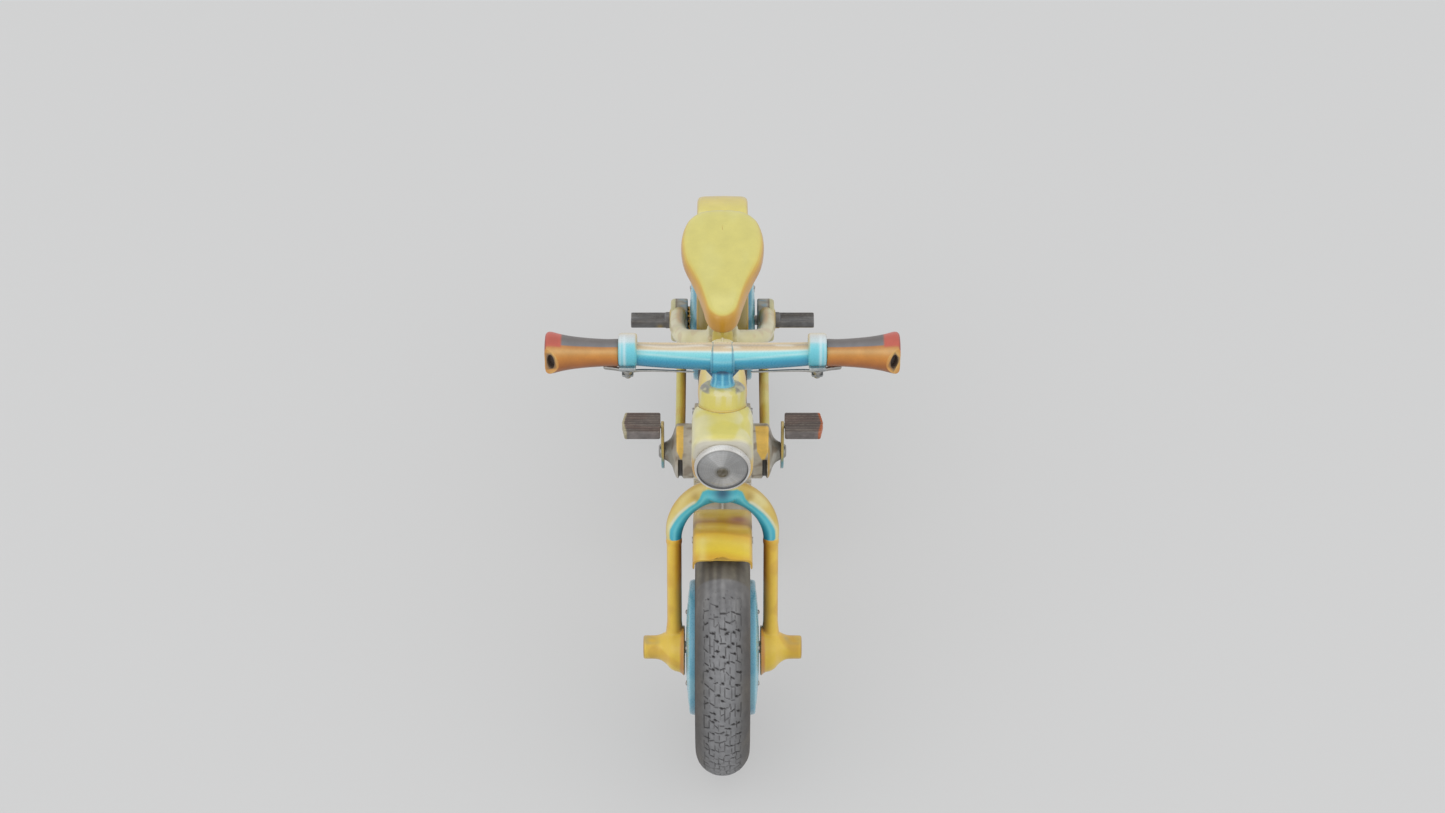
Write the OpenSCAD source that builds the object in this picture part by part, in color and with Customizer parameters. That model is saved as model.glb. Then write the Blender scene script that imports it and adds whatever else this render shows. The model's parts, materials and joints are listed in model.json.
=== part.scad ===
// Tin wind-up motorcycle: raked fork with a headlamp nacelle, pressed tin tank
// and saddle, clockwork engine with a winding key, and a shaft drive inside the
// left chain stay. Millimetres, +Z up, front towards -Y, tyres standing on z = 0.

/* [Wheels] */
// Outer radius of both tyres
wheel_r = 32; // [30:0.5:33]
// Width of both tyres
tyre_w = 13.5; // [12:0.1:14]
// Distance between the two axles
wheelbase = 131.5; // [131:0.1:133]
// Radius of the domed hub discs
disc_r = 16.9; // [16:0.1:17.5]
// Outer radius of both mudguards
fender_r = 34.9; // [34.5:0.1:36]

/* [Steering] */
// Rake of the steering axis, degrees
rake = 20; // [19:0.5:21]
// Sideways distance from the middle to each fork leg
leg_x = 11.95; // [11.8:0.05:12.2]
// Radius of a fork leg
leg_r = 1.8; // [1.6:0.05:1.9]
// Reach of the axle stubs from the middle
stub_x = 19.75; // [19:0.05:21]
// Radius of the axle stubs
stub_r = 2.94; // [2.8:0.02:3.0]
// Reach of the grips from the middle
grip_end_x = 42.8; // [42:0.1:44]

/* [Engine] */
// Half width of the engine case
case_x = 7.6; // [7.6:0.05:7.8]
// Thickness of pressed tin
tin = 0.5; // [0.4:0.05:0.55]
// Radius of the round engine hub covers
hub_cover_r = 7.4; // [7.2:0.05:7.5]

/* [Clockwork] */
// Turns of the mainspring coil
spring_turns = 6; // [4:0.25:6]
// Thickness of the mainspring strip
spring_strip = 0.3; // [0.2:0.05:0.35]
// Radius of each lobe of the winding key
key_lobe_r = 2.6; // [2.2:0.05:2.6]

/* [Hidden] */
$fn = 64;
YELLOW = "#d6c96b";
CREAM = "#cfc9a0";
BLUE = "#4f9fb5";
STEEL = "#a9a9a6";
ENGINE = "#8f8a80";
BRASS = "#b9994f";
RUBBER = "#55565a";
GLASS = "#b5b5b5";
GRIP = "#a86b3c";
DARK = "#6d6864";

tyre_r = tyre_w / 2;
tyre_mid = wheel_r - tyre_r;
rim_r = 19.6;
front_y = -67.5;
rear_y = front_y + wheelbase;
front_c = [0, front_y, wheel_r];
rear_c = [0, rear_y, wheel_r];
axle_r = 1.5;
rear_axle_r = 1.4;
run = 0.05;

// Places along the steering axis, measured from the front axle
stub_x0 = 15.6;
// Front mudguard: where it starts and stops (degrees from straight down, to the rear), and its wall.
guard_start = 105;
guard_stop = 191.5;
guard_half = 7.28;
guard_skirt = 3.2;
// Struts from the front mudguard to the fork legs.
strut_r = 0.6;
strut_root = [6.9, -43.2, 56];
strut_knee = [11.2, -43.8, 56.4];
strut_end = [11.8, -57, 60.4];
arch_s = 29;
arch_in = 10.1;
crown_s = 39.2;
crown_top_s = 45.2;
head_s0 = 47.2;
head_s1 = 60;
cap_s0 = 63;
cap_s1 = 69.75;
bar_s = 77.1;
steerer_r = 2.2;
head_r = 3.2;
bar_r = 3.35;
clamp_x0 = 20.7;
clamp_x1 = 25;
lever_x = 22.85;

// Nacelle and headlamp
nacelle_x = 7.45;
nacelle_y0 = -62.4;
nacelle_y1 = -47;
nacelle_z0 = 81;
nacelle_z1 = 95.5;
lamp_z = 87.7;
lamp_r = 6.45;
bezel_r = 6.8;
bezel_y0 = -64.1;

// Tooth sizes (module) and tooth counts of the spur and crown gears
spur_m = 0.5;
great_teeth = 40;
second_pinion_teeth = 10;
second_teeth = 36;
output_pinion_teeth = 12;
crown_m = 0.4;
crown_teeth = 16;
shaft_teeth = 8;

// Shaft positions in the engine, as [y, z]
crank_p = [7.5, 32];
arbor_p = [17, 21];
mesh_a = (great_teeth + second_pinion_teeth) * spur_m / 2;
mesh_b = (second_teeth + output_pinion_teeth) * spur_m / 2;
ca = arbor_p - crank_p;
ca_len = norm(ca);
ca_along = (mesh_b ^ 2 - mesh_a ^ 2 + ca_len ^ 2) / (2 * ca_len);
ca_up = sqrt(mesh_b ^ 2 - ca_along ^ 2);
second_p = crank_p + ca_along * ca / ca_len + ca_up * [ca[1], -ca[0]] / ca_len;
spindle_r = 1.2;
sleeve_r = 1.9;
arbor_r = 1.3;
ratchet_teeth = 12;
ratchet_r = 4.2;
ratchet_depth = 0.8;
click_p = arbor_p + [-2.2, 6.6];
key_seat_x = -9.4;

// Shaft drive
stay_x = 11.4;
stay_r = 1.35;
shaft_r = 0.6;
crown_mid_r = crown_teeth * crown_m / 2;
shaft_pitch_r = shaft_teeth * crown_m / 2;
crown_pitch_x = stay_x - shaft_pitch_r;
crown_face = 1.4;
housing_r = 6.1;
housing_x0 = 9.7;
housing_x1 = 15;

yoke_knee = [10.6, 31, 52.5];
yoke_r = 1.45;
yoke_back = 23.2;
pedal_up = 8.8;
plate_x0 = 15.75;
plate_x1 = 16.45;
pillars = [[-8.3, 14], [-7, 41], [7, 42], [25.4, 30.8]];
stand_p = [0, 8];
stand_foot = [6.1, -4.5, 0];
wire_r = 0.8;

// ---------- helpers ----------

module rod(p, q, r) {
  v = q - p;
  translate(p) rotate([0, acos(v[2] / norm(v)), atan2(v[1], v[0])])
    cylinder(h = norm(v), r = r);
}

module x_rod(x0, x1, p, r, r2 = undef) {
  translate([x0, p[0], p[1]]) rotate([0, 90, 0])
    cylinder(h = x1 - x0, r1 = r, r2 = is_undef(r2) ? r : r2);
}

// Lathe work about an axle along X: the profile is given as [radius, x]
module on_axle(c) {
  translate(c) rotate([0, 90, 0]) children();
}

// Steering frame: +Z runs up the steering axis from the front axle, -Y is forward
module on_steer(s = 0) {
  translate(front_c) rotate([-rake, 0, 0]) translate([0, 0, s]) children();
}

module both_sides() {
  children();
  mirror([1, 0, 0]) children();
}

module rounded_rect(w, h, r) {
  square([w - 2 * r, h], center = true);
  square([w, h - 2 * r], center = true);
  for (x = [-1, 1], y = [-1, 1]) translate([x * (w / 2 - r), y * (h / 2 - r)]) circle(r);
}

function polar(r, a) = [r * cos(a), r * sin(a)];
function involute(a) = tan(a) * 180 / PI - a;
// Half the angle of a tooth at radius r, flanks radial below the base circle
function tooth_half(teeth, rp, r, thin) =
  let (rb = rp * cos(20), half = 90 / teeth - thin / rp * 90 / PI)
  half + involute(20) - involute(acos(min(1, rb / max(r, rb))));

// Spur gear blank: tip and root are distances from the pitch circle
module gear_2d(teeth, m, tip, root, thin = 0.1) {
  rp = teeth * m / 2;
  base = rp * cos(20);
  radii = [rp - root, max(base, rp - root + 0.01), rp, rp + tip / 2, rp + tip];
  points = [for (i = [0:teeth - 1]) each concat(
    [for (r = radii) polar(r, i * 360 / teeth - tooth_half(teeth, rp, r, thin))],
    [for (j = [4:-1:0]) polar(radii[j],
      i * 360 / teeth + tooth_half(teeth, rp, radii[j], thin))])];
  polygon(points);
}

// Gear on a shaft along X. A tooth points along turn, in degrees from +Y towards +Z
module x_gear(x0, x1, p, teeth, m, tip, root, turn) {
  translate([x0, p[0], p[1]]) rotate([90, 0, 90]) rotate(turn)
    linear_extrude(x1 - x0) gear_2d(teeth, m, tip, root);
}

// Crown gear whose teeth point to -X. A gap faces along turn
module crown_gear(c, turn) {
  tip = 0.18;
  root = 0.45;
  half = PI * crown_m / 4 - 0.09;
  slant = tan(20);
  translate([-crown_pitch_x, c[1], c[2]]) rotate([turn, 0, 0]) {
    x_rod(root, root + 0.6, [0, 0], crown_mid_r + crown_face / 2);
    for (i = [0:crown_teeth - 1]) rotate([(i + 0.5) * 360 / crown_teeth, 0, 0])
      translate([0, crown_mid_r - crown_face / 2, 0]) rotate([90, 0, 180])
        linear_extrude(crown_face) polygon([
          [-root - 0.1, -half - root * slant], [tip, -half + tip * slant],
          [tip, half - tip * slant], [-root - 0.1, half + root * slant]]);
  }
}

// ---------- frame ----------

module head_tube() {
  color(YELLOW) on_steer(head_s0) difference() {
    union() {
      cylinder(h = head_s1 - head_s0, r = head_r - 0.25);
      cylinder(h = 2, r = head_r);
      translate([0, 0, head_s1 - head_s0 - 2]) cylinder(h = 2, r = head_r);
    }
    translate([0, 0, -1]) cylinder(h = head_s1, r = steerer_r + run);
  }
}

module head_space() {
  on_steer(head_s0 - 1) cylinder(h = head_s1 - head_s0 + 2, r = head_r);
}

module seat_post_shape() {
  rod([0, 7.5, 44.8], [0, 20, 72.4], 2.4);
}

module backbone_shape() {
  rod([0, -48.6, 81], [0, 15, 62.4], 2.2);
}

module backbone_tube() {
  color(YELLOW) difference() {
    backbone_shape();
    head_space();
    seat_post_shape();
  }
}

module down_tube() {
  color(YELLOW) difference() {
    rod([0, -50, 78.6], [0, -7, 43], 2.1);
    head_space();
    backbone_shape();
    case_shape(0);
  }
}

module seat_post() {
  color(YELLOW) difference() {
    seat_post_shape();
    case_shape(0);
    translate([0, 22, 77.2]) cube([20, 20, 10], center = true);
  }
}

module yoke_half() {
  rod([3, 20, 60.5], yoke_knee, yoke_r);
  translate(yoke_knee) sphere(yoke_r + 0.1);
  rod(yoke_knee, [12.2, 59.5, 36.5], yoke_r);
}

module stay_yoke() {
  color(CREAM) difference() {
    union() {
      both_sides() yoke_half();
      translate([-4.2, yoke_back - 6.2, 57.5]) cube([8.4, 6.2, 6]);
    }
    seat_post_shape();
    backbone_shape();
    both_sides() x_rod(housing_x0 - 1, housing_x1, [rear_y, wheel_r], housing_r);
  }
}

module chain_stay() {
  translate([stay_x, 14.25, wheel_r]) rotate([-90, 0, 0]) cylinder(h = 44.15, r = stay_r);
}

module chain_stay_left() {
  color(YELLOW) mirror([1, 0, 0]) difference() {
    chain_stay();
    translate([stay_x, 10, wheel_r]) rotate([-90, 0, 0]) cylinder(h = 60, r = shaft_r + run);
  }
}

module chain_stay_right() {
  color(YELLOW) chain_stay();
}

// Round housing at the end of the stays, drawn on the right-hand side
module rear_housing(hollow_r) {
  difference() {
    union() {
      x_rod(housing_x0, 13.8, [rear_y, wheel_r], housing_r);
      x_rod(13.8, housing_x1, [rear_y, wheel_r], housing_r, 4.6);
    }
    x_rod(housing_x0 - 1, 13.6, [rear_y, wheel_r], hollow_r);
    x_rod(13, 14.3, [rear_y, wheel_r], rear_axle_r);
    translate([stay_x, 50, wheel_r]) rotate([-90, 0, 0]) cylinder(h = 9, r = stay_r);
  }
}

module rear_housing_left() {
  color(ENGINE) mirror([1, 0, 0]) rear_housing(5.2);
}

module rear_housing_right() {
  color(ENGINE) rear_housing(5.2);
}

module rear_axle() {
  color(STEEL) x_rod(-14.3, 14.3, [rear_y, wheel_r], rear_axle_r);
}

module rear_pegs() {
  color(DARK) both_sides() difference() {
    union() {
      translate([15, rear_y - 2.2, wheel_r - 1.2]) cube([10.8, 4.4, 2.4]);
      x_rod(15, 16.2, [rear_y, wheel_r], 2.3);
    }
    for (x = [17.4:1.4:24.6]) translate([x, rear_y - 3, wheel_r + 0.95]) cube([0.6, 6, 1]);
  }
}

module fender_profile(half_w, skirt) {
  translate([fender_r - skirt, -half_w]) difference() {
    union() {
      square([skirt - 1.5, 2 * half_w]);
      translate([0, 1.5]) square([skirt, 2 * half_w - 3]);
      for (y = [1.5, 2 * half_w - 1.5]) translate([skirt - 1.5, y]) circle(1.5);
    }
    translate([-1, tin]) square([skirt - 0.5, 2 * half_w - 2 * tin]);
  }
}

// Mudguard from angle a0 to a1, in degrees from straight down towards the rear
module fender_arc(c, a0, a1, half_w, skirt) {
  on_axle(c) rotate(a0) rotate_extrude(angle = a1 - a0, $fn = 96)
    fender_profile(half_w, skirt);
}

module rear_fender() {
  color(YELLOW) difference() {
    union() {
      fender_arc(rear_c, 90, 240, 7.05, 3.2);
      both_sides()
        rod([7.2, rear_y + 23.6, wheel_r + 23.6], [10.6, rear_y + 3, wheel_r + 3], 0.45);
      translate([-1.5, yoke_back, 58]) cube([3, 18.4, 1.2]);
    }
    both_sides() x_rod(housing_x0, housing_x1, [rear_y, wheel_r], housing_r);
  }
}

// One rounded station of the saddle; k makes it smaller all round
module saddle_station(x, y, z, r, h, k) {
  translate([x, y, z]) scale([1, 1, (h - k) / (r - k)]) sphere(r - k, $fn = 32);
}

module saddle_form(k) {
  hull() {
    for (s = [-1, 1]) saddle_station(s * 2.6, 45, 76.2, 8.2, 3.4, k);
    saddle_station(0, 35, 75.7, 10.9, 3.4, k);
    saddle_station(0, 7.2, 74.4, 4.6, 3.2, k);
  }
}

module saddle_base_space() {
  translate([0, 28, 75.2]) rotate([2.6, 0, 0]) translate([-15, -35, -20])
    cube([30, 70, 18.6]);
}

module saddle_shell() {
  color(YELLOW) difference() {
    saddle_form(0);
    saddle_base_space();
    saddle_form(tin);
  }
}

module saddle_pan() {
  color(DARK) difference() {
    intersection() {
      saddle_form(0);
      saddle_base_space();
    }
    seat_post_shape();
  }
}

module tank_form(k) {
  hull() {
    translate([0, -28.5, 76.2]) scale([1, 1, 0.8]) sphere(5.4 - k, $fn = 32);
    for (s = [-1, 1]) translate([s * 2.2, -20, 75.8]) scale([1, 1, 1.1])
      sphere(4.1 - k, $fn = 32);
    translate([0, -2.5, 73.6]) sphere(4.2 - k, $fn = 32);
  }
}

module tank_whole() {
  difference() {
    tank_form(0);
    difference() {
      tank_form(tin);
      rod([0, -48.6, 81], [0, 15, 62.4], 2.3 + tin);
    }
    rod([0, -48.6, 81], [0, 15, 62.4], 2.22);
  }
}

module tank_left() {
  color(YELLOW) intersection() {
    tank_whole();
    translate([-20, -50, 50]) cube([20, 100, 50]);
  }
}

module tank_right() {
  color(YELLOW) intersection() {
    tank_whole();
    translate([0, -50, 50]) cube([20, 100, 50]);
  }
}

// ---------- engine ----------

// Outline of the engine case, k smaller all round and open along X
module case_shape(k, half_w = case_x) {
  hull() {
    x_rod(-half_w, half_w, [-5, 16.5], 6.9 - k);
    x_rod(-half_w, half_w, [21.3, 16.6], 7 - k);
    x_rod(-half_w, half_w, [22.8, 28], 5.5 - k);
    x_rod(-half_w, half_w, [6, 41], 5 - k);
    x_rod(-half_w, half_w, [-6, 40], 5.9 - k);
  }
}

module engine_case_half() {
  difference() {
    union() {
      intersection() {
        difference() {
          case_shape(0);
          case_shape(tin, case_x - tin);
        }
        translate([0, -60, 0]) cube([20, 120, 60]);
      }
      translate([0, stand_p[0] - 1.6, stand_p[1] - 1.5]) cube([1.5, 3.2, 3.1]);
    }
    x_rod(-1, 3, stand_p, wire_r + run);
    x_rod(5, 9, crank_p, sleeve_r + 0.15);
    x_rod(5, 9, arbor_p, arbor_r + 0.15);
    for (p = pillars) x_rod(5, 9, p, 0.55);
  }
}

module engine_case_left() {
  color(ENGINE) mirror([1, 0, 0]) engine_case_half();
}

module engine_case_right() {
  color(ENGINE) engine_case_half();
}

// Stepped and coned cover on the side of the engine, drawn on the right-hand side
module hub_cover() {
  difference() {
    union() {
      x_rod(case_x, 12.3, crank_p, hub_cover_r);
      x_rod(12.3, 13.4, crank_p, hub_cover_r, 5.1);
      x_rod(13.4, 15.6, crank_p, 5.1, 2.4);
    }
    x_rod(case_x - 1, 12.1, crank_p, hub_cover_r - 0.6);
    x_rod(12, 13.6, crank_p, hub_cover_r - 1.4, 4.3);
    x_rod(13, 16, crank_p, spindle_r + run);
    translate([stay_x, 14.2, wheel_r]) rotate([-90, 0, 0]) cylinder(h = 2, r = stay_r);
  }
}

module hub_cover_left() {
  color(ENGINE) mirror([1, 0, 0]) hub_cover();
}

module hub_cover_right() {
  color(ENGINE) hub_cover();
}

module motor_plate(x) {
  difference() {
    intersection() {
      case_shape(tin + 0.15, 7);
      translate([x, -60, 0]) cube([0.5, 120, 60]);
    }
    x_rod(x - 1, x + 1, crank_p, x < 0 ? sleeve_r + run : spindle_r + run);
    x_rod(x - 1, x + 1, arbor_p, arbor_r + run);
    x_rod(x - 1, x + 1, second_p, 0.8 + run);
    for (p = pillars) x_rod(x - 1, x + 1, p, 0.55);
  }
}

module motor_plates() {
  color(BRASS) {
    motor_plate(-6.9);
    motor_plate(6.4);
  }
}

module pillar_bolts() {
  color(STEEL) for (p = pillars) {
    x_rod(-6.4, 6.4, p, 0.85);
    both_sides() {
      x_rod(6.3, case_x + 0.1, p, 0.5);
      difference() {
        x_rod(case_x, case_x + 0.6, p, 1.1, 0.9);
        translate([case_x + 0.4, p[0] - 0.15, p[1] - 2]) cube([1, 0.3, 4]);
      }
    }
  }
}

// Flat coil: the outer end hooks round a pin between the plates
module mainspring() {
  r0 = 1.9;
  pitch = 1.1;
  step = 15;
  spiral = [for (a = [0:step:spring_turns * 360]) [r0 + pitch * a / 360, a]];
  r_end = r0 + spring_turns * pitch + spring_strip + 0.55;
  color(STEEL) {
    translate([-0.6, arbor_p[0], arbor_p[1]]) rotate([90, 0, 90]) linear_extrude(5)
      polygon(concat(
        [for (p = spiral) polar(p[0], p[1])],
        [for (i = [len(spiral) - 1:-1:0]) polar(spiral[i][0] + spring_strip, spiral[i][1])]));
    x_rod(-0.6, 6.4, arbor_p + polar(r_end, spring_turns * 360), 0.6);
  }
}

// ---------- steering ----------

// Fork leg with the flared axle boss and stub, drawn on the right-hand side
module fork_leg() {
  difference() {
    union() {
      on_steer() translate([leg_x, 0, 0]) cylinder(h = arch_s, r = leg_r);
      on_steer() translate([leg_x, 0, 1.5]) cylinder(h = 5.5, r1 = 2.5, r2 = leg_r);
      x_rod(9.6, 10.6, [front_y, wheel_r], 6.6, 5.7);
      x_rod(10.6, 13.2, [front_y, wheel_r], 5.7, 4.6);
      x_rod(13.2, stub_x0, [front_y, wheel_r], 4.6, stub_r);
      x_rod(stub_x0, stub_x, [front_y, wheel_r], stub_r);
    }
    x_rod(9, 14.5, [front_y, wheel_r], axle_r);
  }
}

module fork_leg_left() {
  color(YELLOW) mirror([1, 0, 0]) fork_leg();
}

module fork_leg_right() {
  color(YELLOW) fork_leg();
}

module fork_arch() {
  color(YELLOW) difference() {
    union() {
      on_steer(arch_s) rotate([90, 0, 0])
        rotate_extrude(angle = 180, $fn = 96) translate([leg_x, 0]) circle(leg_r);
      on_steer(crown_s + 0.2) cylinder(h = crown_top_s - crown_s - 0.2, r = 4);
      on_steer(arch_s) difference() {
        rotate([90, 0, 0]) linear_extrude(3.2, center = true) polygon([[-10.4, 9], [-7.4, 12.8],
          [-4.4, 15.4], [-2.5, 16], [2.5, 16], [4.4, 15.4], [7.4, 12.8], [10.4, 9]]);
        rotate([90, 0, 0]) cylinder(h = 10, r = arch_in, center = true);
      }
    }
    on_steer(crown_s + 1) cylinder(h = 20, r = steerer_r);
  }
}

module steerer_tube() {
  color(STEEL) on_steer(crown_s + 1) difference() {
    cylinder(h = bar_s - 5.4 - crown_s, r = steerer_r);
    translate([0, 0, 2]) cylinder(h = 60, r = steerer_r - 0.6);
  }
}

module front_axle() {
  color(STEEL) x_rod(-14.5, 14.5, [front_y, wheel_r], axle_r);
}

module nacelle() {
  depth = nacelle_y1 - nacelle_y0;
  height = nacelle_z1 - nacelle_z0;
  color(YELLOW) difference() {
    translate([0, nacelle_y1, (nacelle_z0 + nacelle_z1) / 2]) rotate([90, 0, 0])
      linear_extrude(depth) rounded_rect(2 * nacelle_x, height, 2.4);
    translate([0, nacelle_y1 + 1, (nacelle_z0 + nacelle_z1) / 2]) rotate([90, 0, 0])
      linear_extrude(depth + 1 - 0.7) rounded_rect(2 * nacelle_x - 1.2, height - 1.2, 1.8);
    translate([-6.4, -56, nacelle_z0 - 1]) cube([12.8, 12, 4]);
    on_steer(cap_s0 - 0.05) cylinder(h = 20, r = 6.02);
    translate([0, nacelle_y0 - 1, lamp_z]) rotate([-90, 0, 0]) cylinder(h = 4, r = 5.4);
  }
}

module lamp_bezel() {
  color(STEEL) translate([0, bezel_y0, lamp_z]) rotate([-90, 0, 0]) difference() {
    union() {
      cylinder(h = 0.8, r1 = lamp_r + 0.1, r2 = bezel_r - 0.2);
      translate([0, 0, 0.8]) cylinder(h = nacelle_y0 - bezel_y0 - 0.8, r = bezel_r);
    }
    translate([0, 0, -1]) cylinder(h = 6, r = lamp_r - 0.35);
  }
}

module lamp_lens() {
  color(GLASS) translate([0, bezel_y0 + 0.4, lamp_z]) rotate([-90, 0, 0])
    cylinder(h = 0.9, r = lamp_r - 0.37);
}

module lamp_reflector() {
  color(STEEL) translate([0, bezel_y0 + 1.35, lamp_z]) rotate([-90, 0, 0]) difference() {
    union() {
      cylinder(h = nacelle_y0 - bezel_y0 - 1.37, r = lamp_r - 0.4);
      cylinder(h = 4.7, r = 5.3);
    }
    translate([0, 0, -0.01]) cylinder(h = 4, r1 = 5, r2 = 1.5);
  }
}

module head_cap() {
  color(YELLOW) on_steer(cap_s0) difference() {
    union() {
      cylinder(h = cap_s1 - cap_s0 - 1.1, r1 = 6, r2 = 5.55);
      translate([0, 0, cap_s1 - cap_s0 - 1.1]) cylinder(h = 1.1, r1 = 5.55, r2 = 4.5);
    }
    translate([0, 0, -1]) cylinder(h = 20, r = steerer_r);
  }
}

module bar_stem() {
  color(BLUE) difference() {
    on_steer(cap_s1) {
      cylinder(h = 1.6, r1 = 3.3, r2 = 2.75);
      cylinder(h = bar_s - cap_s1, r = 2.75);
    }
    on_steer(crown_s) cylinder(h = bar_s - 4.4 - crown_s, r = steerer_r);
    x_rod(-10, 10, bar_p(), bar_r + 0.25);
  }
}

// Middle of the handlebar as [y, z]
function bar_p() = [front_y + bar_s * sin(rake), wheel_r + bar_s * cos(rake)];

module handlebar() {
  color(BLUE) difference() {
    union() {
      both_sides() {
        x_rod(0, clamp_x0, bar_p(), bar_r, 3.1);
        x_rod(clamp_x0, grip_end_x - 3, bar_p(), 2.1);
      }
      x_rod(-2.7, 2.7, bar_p(), bar_r + 0.25);
    }
    both_sides() x_rod(30, grip_end_x, bar_p(), 1.5);
  }
}

module bar_clamps() {
  color(BLUE) both_sides() difference() {
    union() {
      x_rod(clamp_x0, clamp_x1, bar_p(), 3.85);
      translate([clamp_x0 + 0.3, bar_p()[0] - 4.4, bar_p()[1] - 5.3]) cube([3.7, 4.4, 2.6]);
    }
    x_rod(clamp_x0 - 1, clamp_x1 + 1, bar_p(), 2.1);
    translate([clamp_x0 - 1, bar_p()[0] - 5, bar_p()[1] - 4.75]) cube([6, 4.2, 1.5]);
    lever_pin(0.55);
  }
}

module lever_pin(r) {
  translate([lever_x, bar_p()[0] - 3, bar_p()[1] - 5.3]) cylinder(h = 2.4, r = r);
}

// Brake lever with its pivot pin, drawn on the right-hand side
module brake_lever() {
  y = bar_p()[0] - 3;
  z = bar_p()[1] - 4;
  translate([lever_x, y, z - 0.6]) cylinder(h = 1.2, r = 1.1);
  lever_pin(0.5);
  rod([lever_x, y, z], [8, y + 0.6, z], 0.35);
  rod([lever_x, y, z], [28, y - 0.6, z], 0.5);
  translate([28, y - 0.6, z]) sphere(0.7);
}

module brake_lever_left() {
  color(STEEL) mirror([1, 0, 0]) brake_lever();
}

module brake_lever_right() {
  color(STEEL) brake_lever();
}

// Trumpet-shaped grip with a cross hole near its end; side is 1 on the right
module grip(side) {
  difference() {
    translate([0, bar_p()[0], bar_p()[1]]) rotate([0, side * 90, 0]) rotate_extrude() polygon([
      [0, clamp_x1], [3.3, clamp_x1], [3.1, 27.5], [2.95, 30], [3.05, 32.5], [3.5, 35.5],
      [4.2, 38], [4.9, 40], [5.2, 41.3], [5, 42.3], [4.3, grip_end_x], [0, grip_end_x]]);
    translate([0, bar_p()[0], bar_p()[1]]) rotate([0, side * 90, 0])
      translate([0, 0, clamp_x1 - 1]) cylinder(h = grip_end_x - clamp_x1 - 2, r = 2.12);
    translate([side * 40.6, bar_p()[0] - 6, bar_p()[1] - 1.2]) rotate([-90, 0, 0])
      cylinder(h = 2.3, r = 0.9);
  }
}

module grip_left() {
  color(GRIP) grip(-1);
}

module grip_right() {
  color(GRIP) grip(1);
}

module front_fender() {
  color(YELLOW) difference() {
    union() {
      fender_arc(front_c, guard_start, guard_stop, guard_half, guard_skirt);
      both_sides() {
        rod(strut_root, strut_knee, strut_r);
        rod(strut_knee, strut_end, strut_r);
        translate(strut_knee) sphere(strut_r + 0.08);
      }
    }
    on_steer(arch_s) rotate([90, 0, 0])
      rotate_extrude(angle = 180, $fn = 96) translate([leg_x, 0]) circle(leg_r);
    x_rod(-6.7, 6.7, [front_y, wheel_r], fender_r - 0.6);
  }
}

// ---------- wheels ----------

module tyre(c) {
  on_axle(c) rotate_extrude($fn = 128) difference() {
    translate([tyre_mid, 0]) circle(tyre_r, $fn = 64);
    translate([0, -tyre_w]) square([rim_r, 2 * tyre_w]);
  }
}

module rim(c, hole_r) {
  on_axle(c) rotate_extrude($fn = 96) {
    translate([disc_r, -3.4]) square([rim_r - disc_r, 6.8]);
    translate([2.6, -0.5]) square([disc_r - 2.6, 1]);
    translate([hole_r, -8]) square([3 - hole_r, 16]);
  }
}

// Domed disc on one side of a wheel, from the rim to the hub
module disc(c, hole_r) {
  on_axle(c) rotate_extrude($fn = 96) polygon([
    [disc_r - tin, 1.2], [disc_r, 1.2], [disc_r, 7.7], [disc_r - 0.5, 8.2],
    [disc_r - 4, 8.7], [8, 9.05], [hole_r, 9.2], [hole_r, 8.7], [8, 8.55],
    [disc_r - 4, 8.2], [disc_r - 0.8, 7.7], [disc_r - tin, 7.5]]);
}

module discs(c, hole_r) {
  both_sides() disc(c, hole_r);
}

module front_tyre() {
  color(RUBBER) tyre(front_c);
}

module front_rim() {
  color(STEEL) rim(front_c, axle_r + run);
}

module front_discs() {
  color(BLUE) discs(front_c, axle_r + 0.3);
}

module rear_tyre() {
  color(RUBBER) tyre(rear_c);
}

module rear_rim() {
  color(STEEL) rim(rear_c, rear_axle_r + run);
}

module rear_discs() {
  color(BLUE) discs(rear_c, 4.3);
}

// ---------- clockwork ----------

module wheel_gear() {
  color(BRASS) difference() {
    union() {
      crown_gear(rear_c, 180);
      x_rod(-8.75, -8, [rear_y, wheel_r], 3);
    }
    x_rod(-12, 0, [rear_y, wheel_r], rear_axle_r + run);
  }
}

module shaft_pinion(y) {
  translate([0, y - crown_face / 2, 0]) rotate([-90, 0, 0])
    linear_extrude(crown_face) gear_2d(shaft_teeth, crown_m, 0.3, 0.45);
}

module drive_shaft() {
  y0 = crank_p[0] + crown_mid_r;
  y1 = rear_y - crown_mid_r;
  color(STEEL) translate([-stay_x, 0, wheel_r]) {
    translate([0, y0 - 0.8, 0]) rotate([-90, 0, 0]) cylinder(h = y1 - y0 + 1.6, r = shaft_r);
    shaft_pinion(y0);
    shaft_pinion(y1);
  }
}

function toward(p, q) = atan2(q[1] - p[1], q[0] - p[0]);

module output_gear() {
  color(BRASS) difference() {
    union() {
      crown_gear([0, crank_p[0], crank_p[1]], 0);
      x_rod(-9, -4.8, crank_p, sleeve_r);
      x_gear(-6.2, -4.8, crank_p, output_pinion_teeth, spur_m, 0.4, 0.6,
        toward(crank_p, second_p));
    }
    x_rod(-12, 0, crank_p, spindle_r + run);
  }
}

module second_gear() {
  color(BRASS) {
    x_rod(-6.85, 6.85, second_p, 0.8);
    x_gear(-6.1, -4.9, second_p, second_teeth, spur_m, 0.3, 0.6,
      toward(second_p, crank_p) + 180 / second_teeth);
    x_gear(-4.9, -2.6, second_p, second_pinion_teeth, spur_m, 0.4, 0.6,
      toward(second_p, arbor_p));
  }
}

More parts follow.
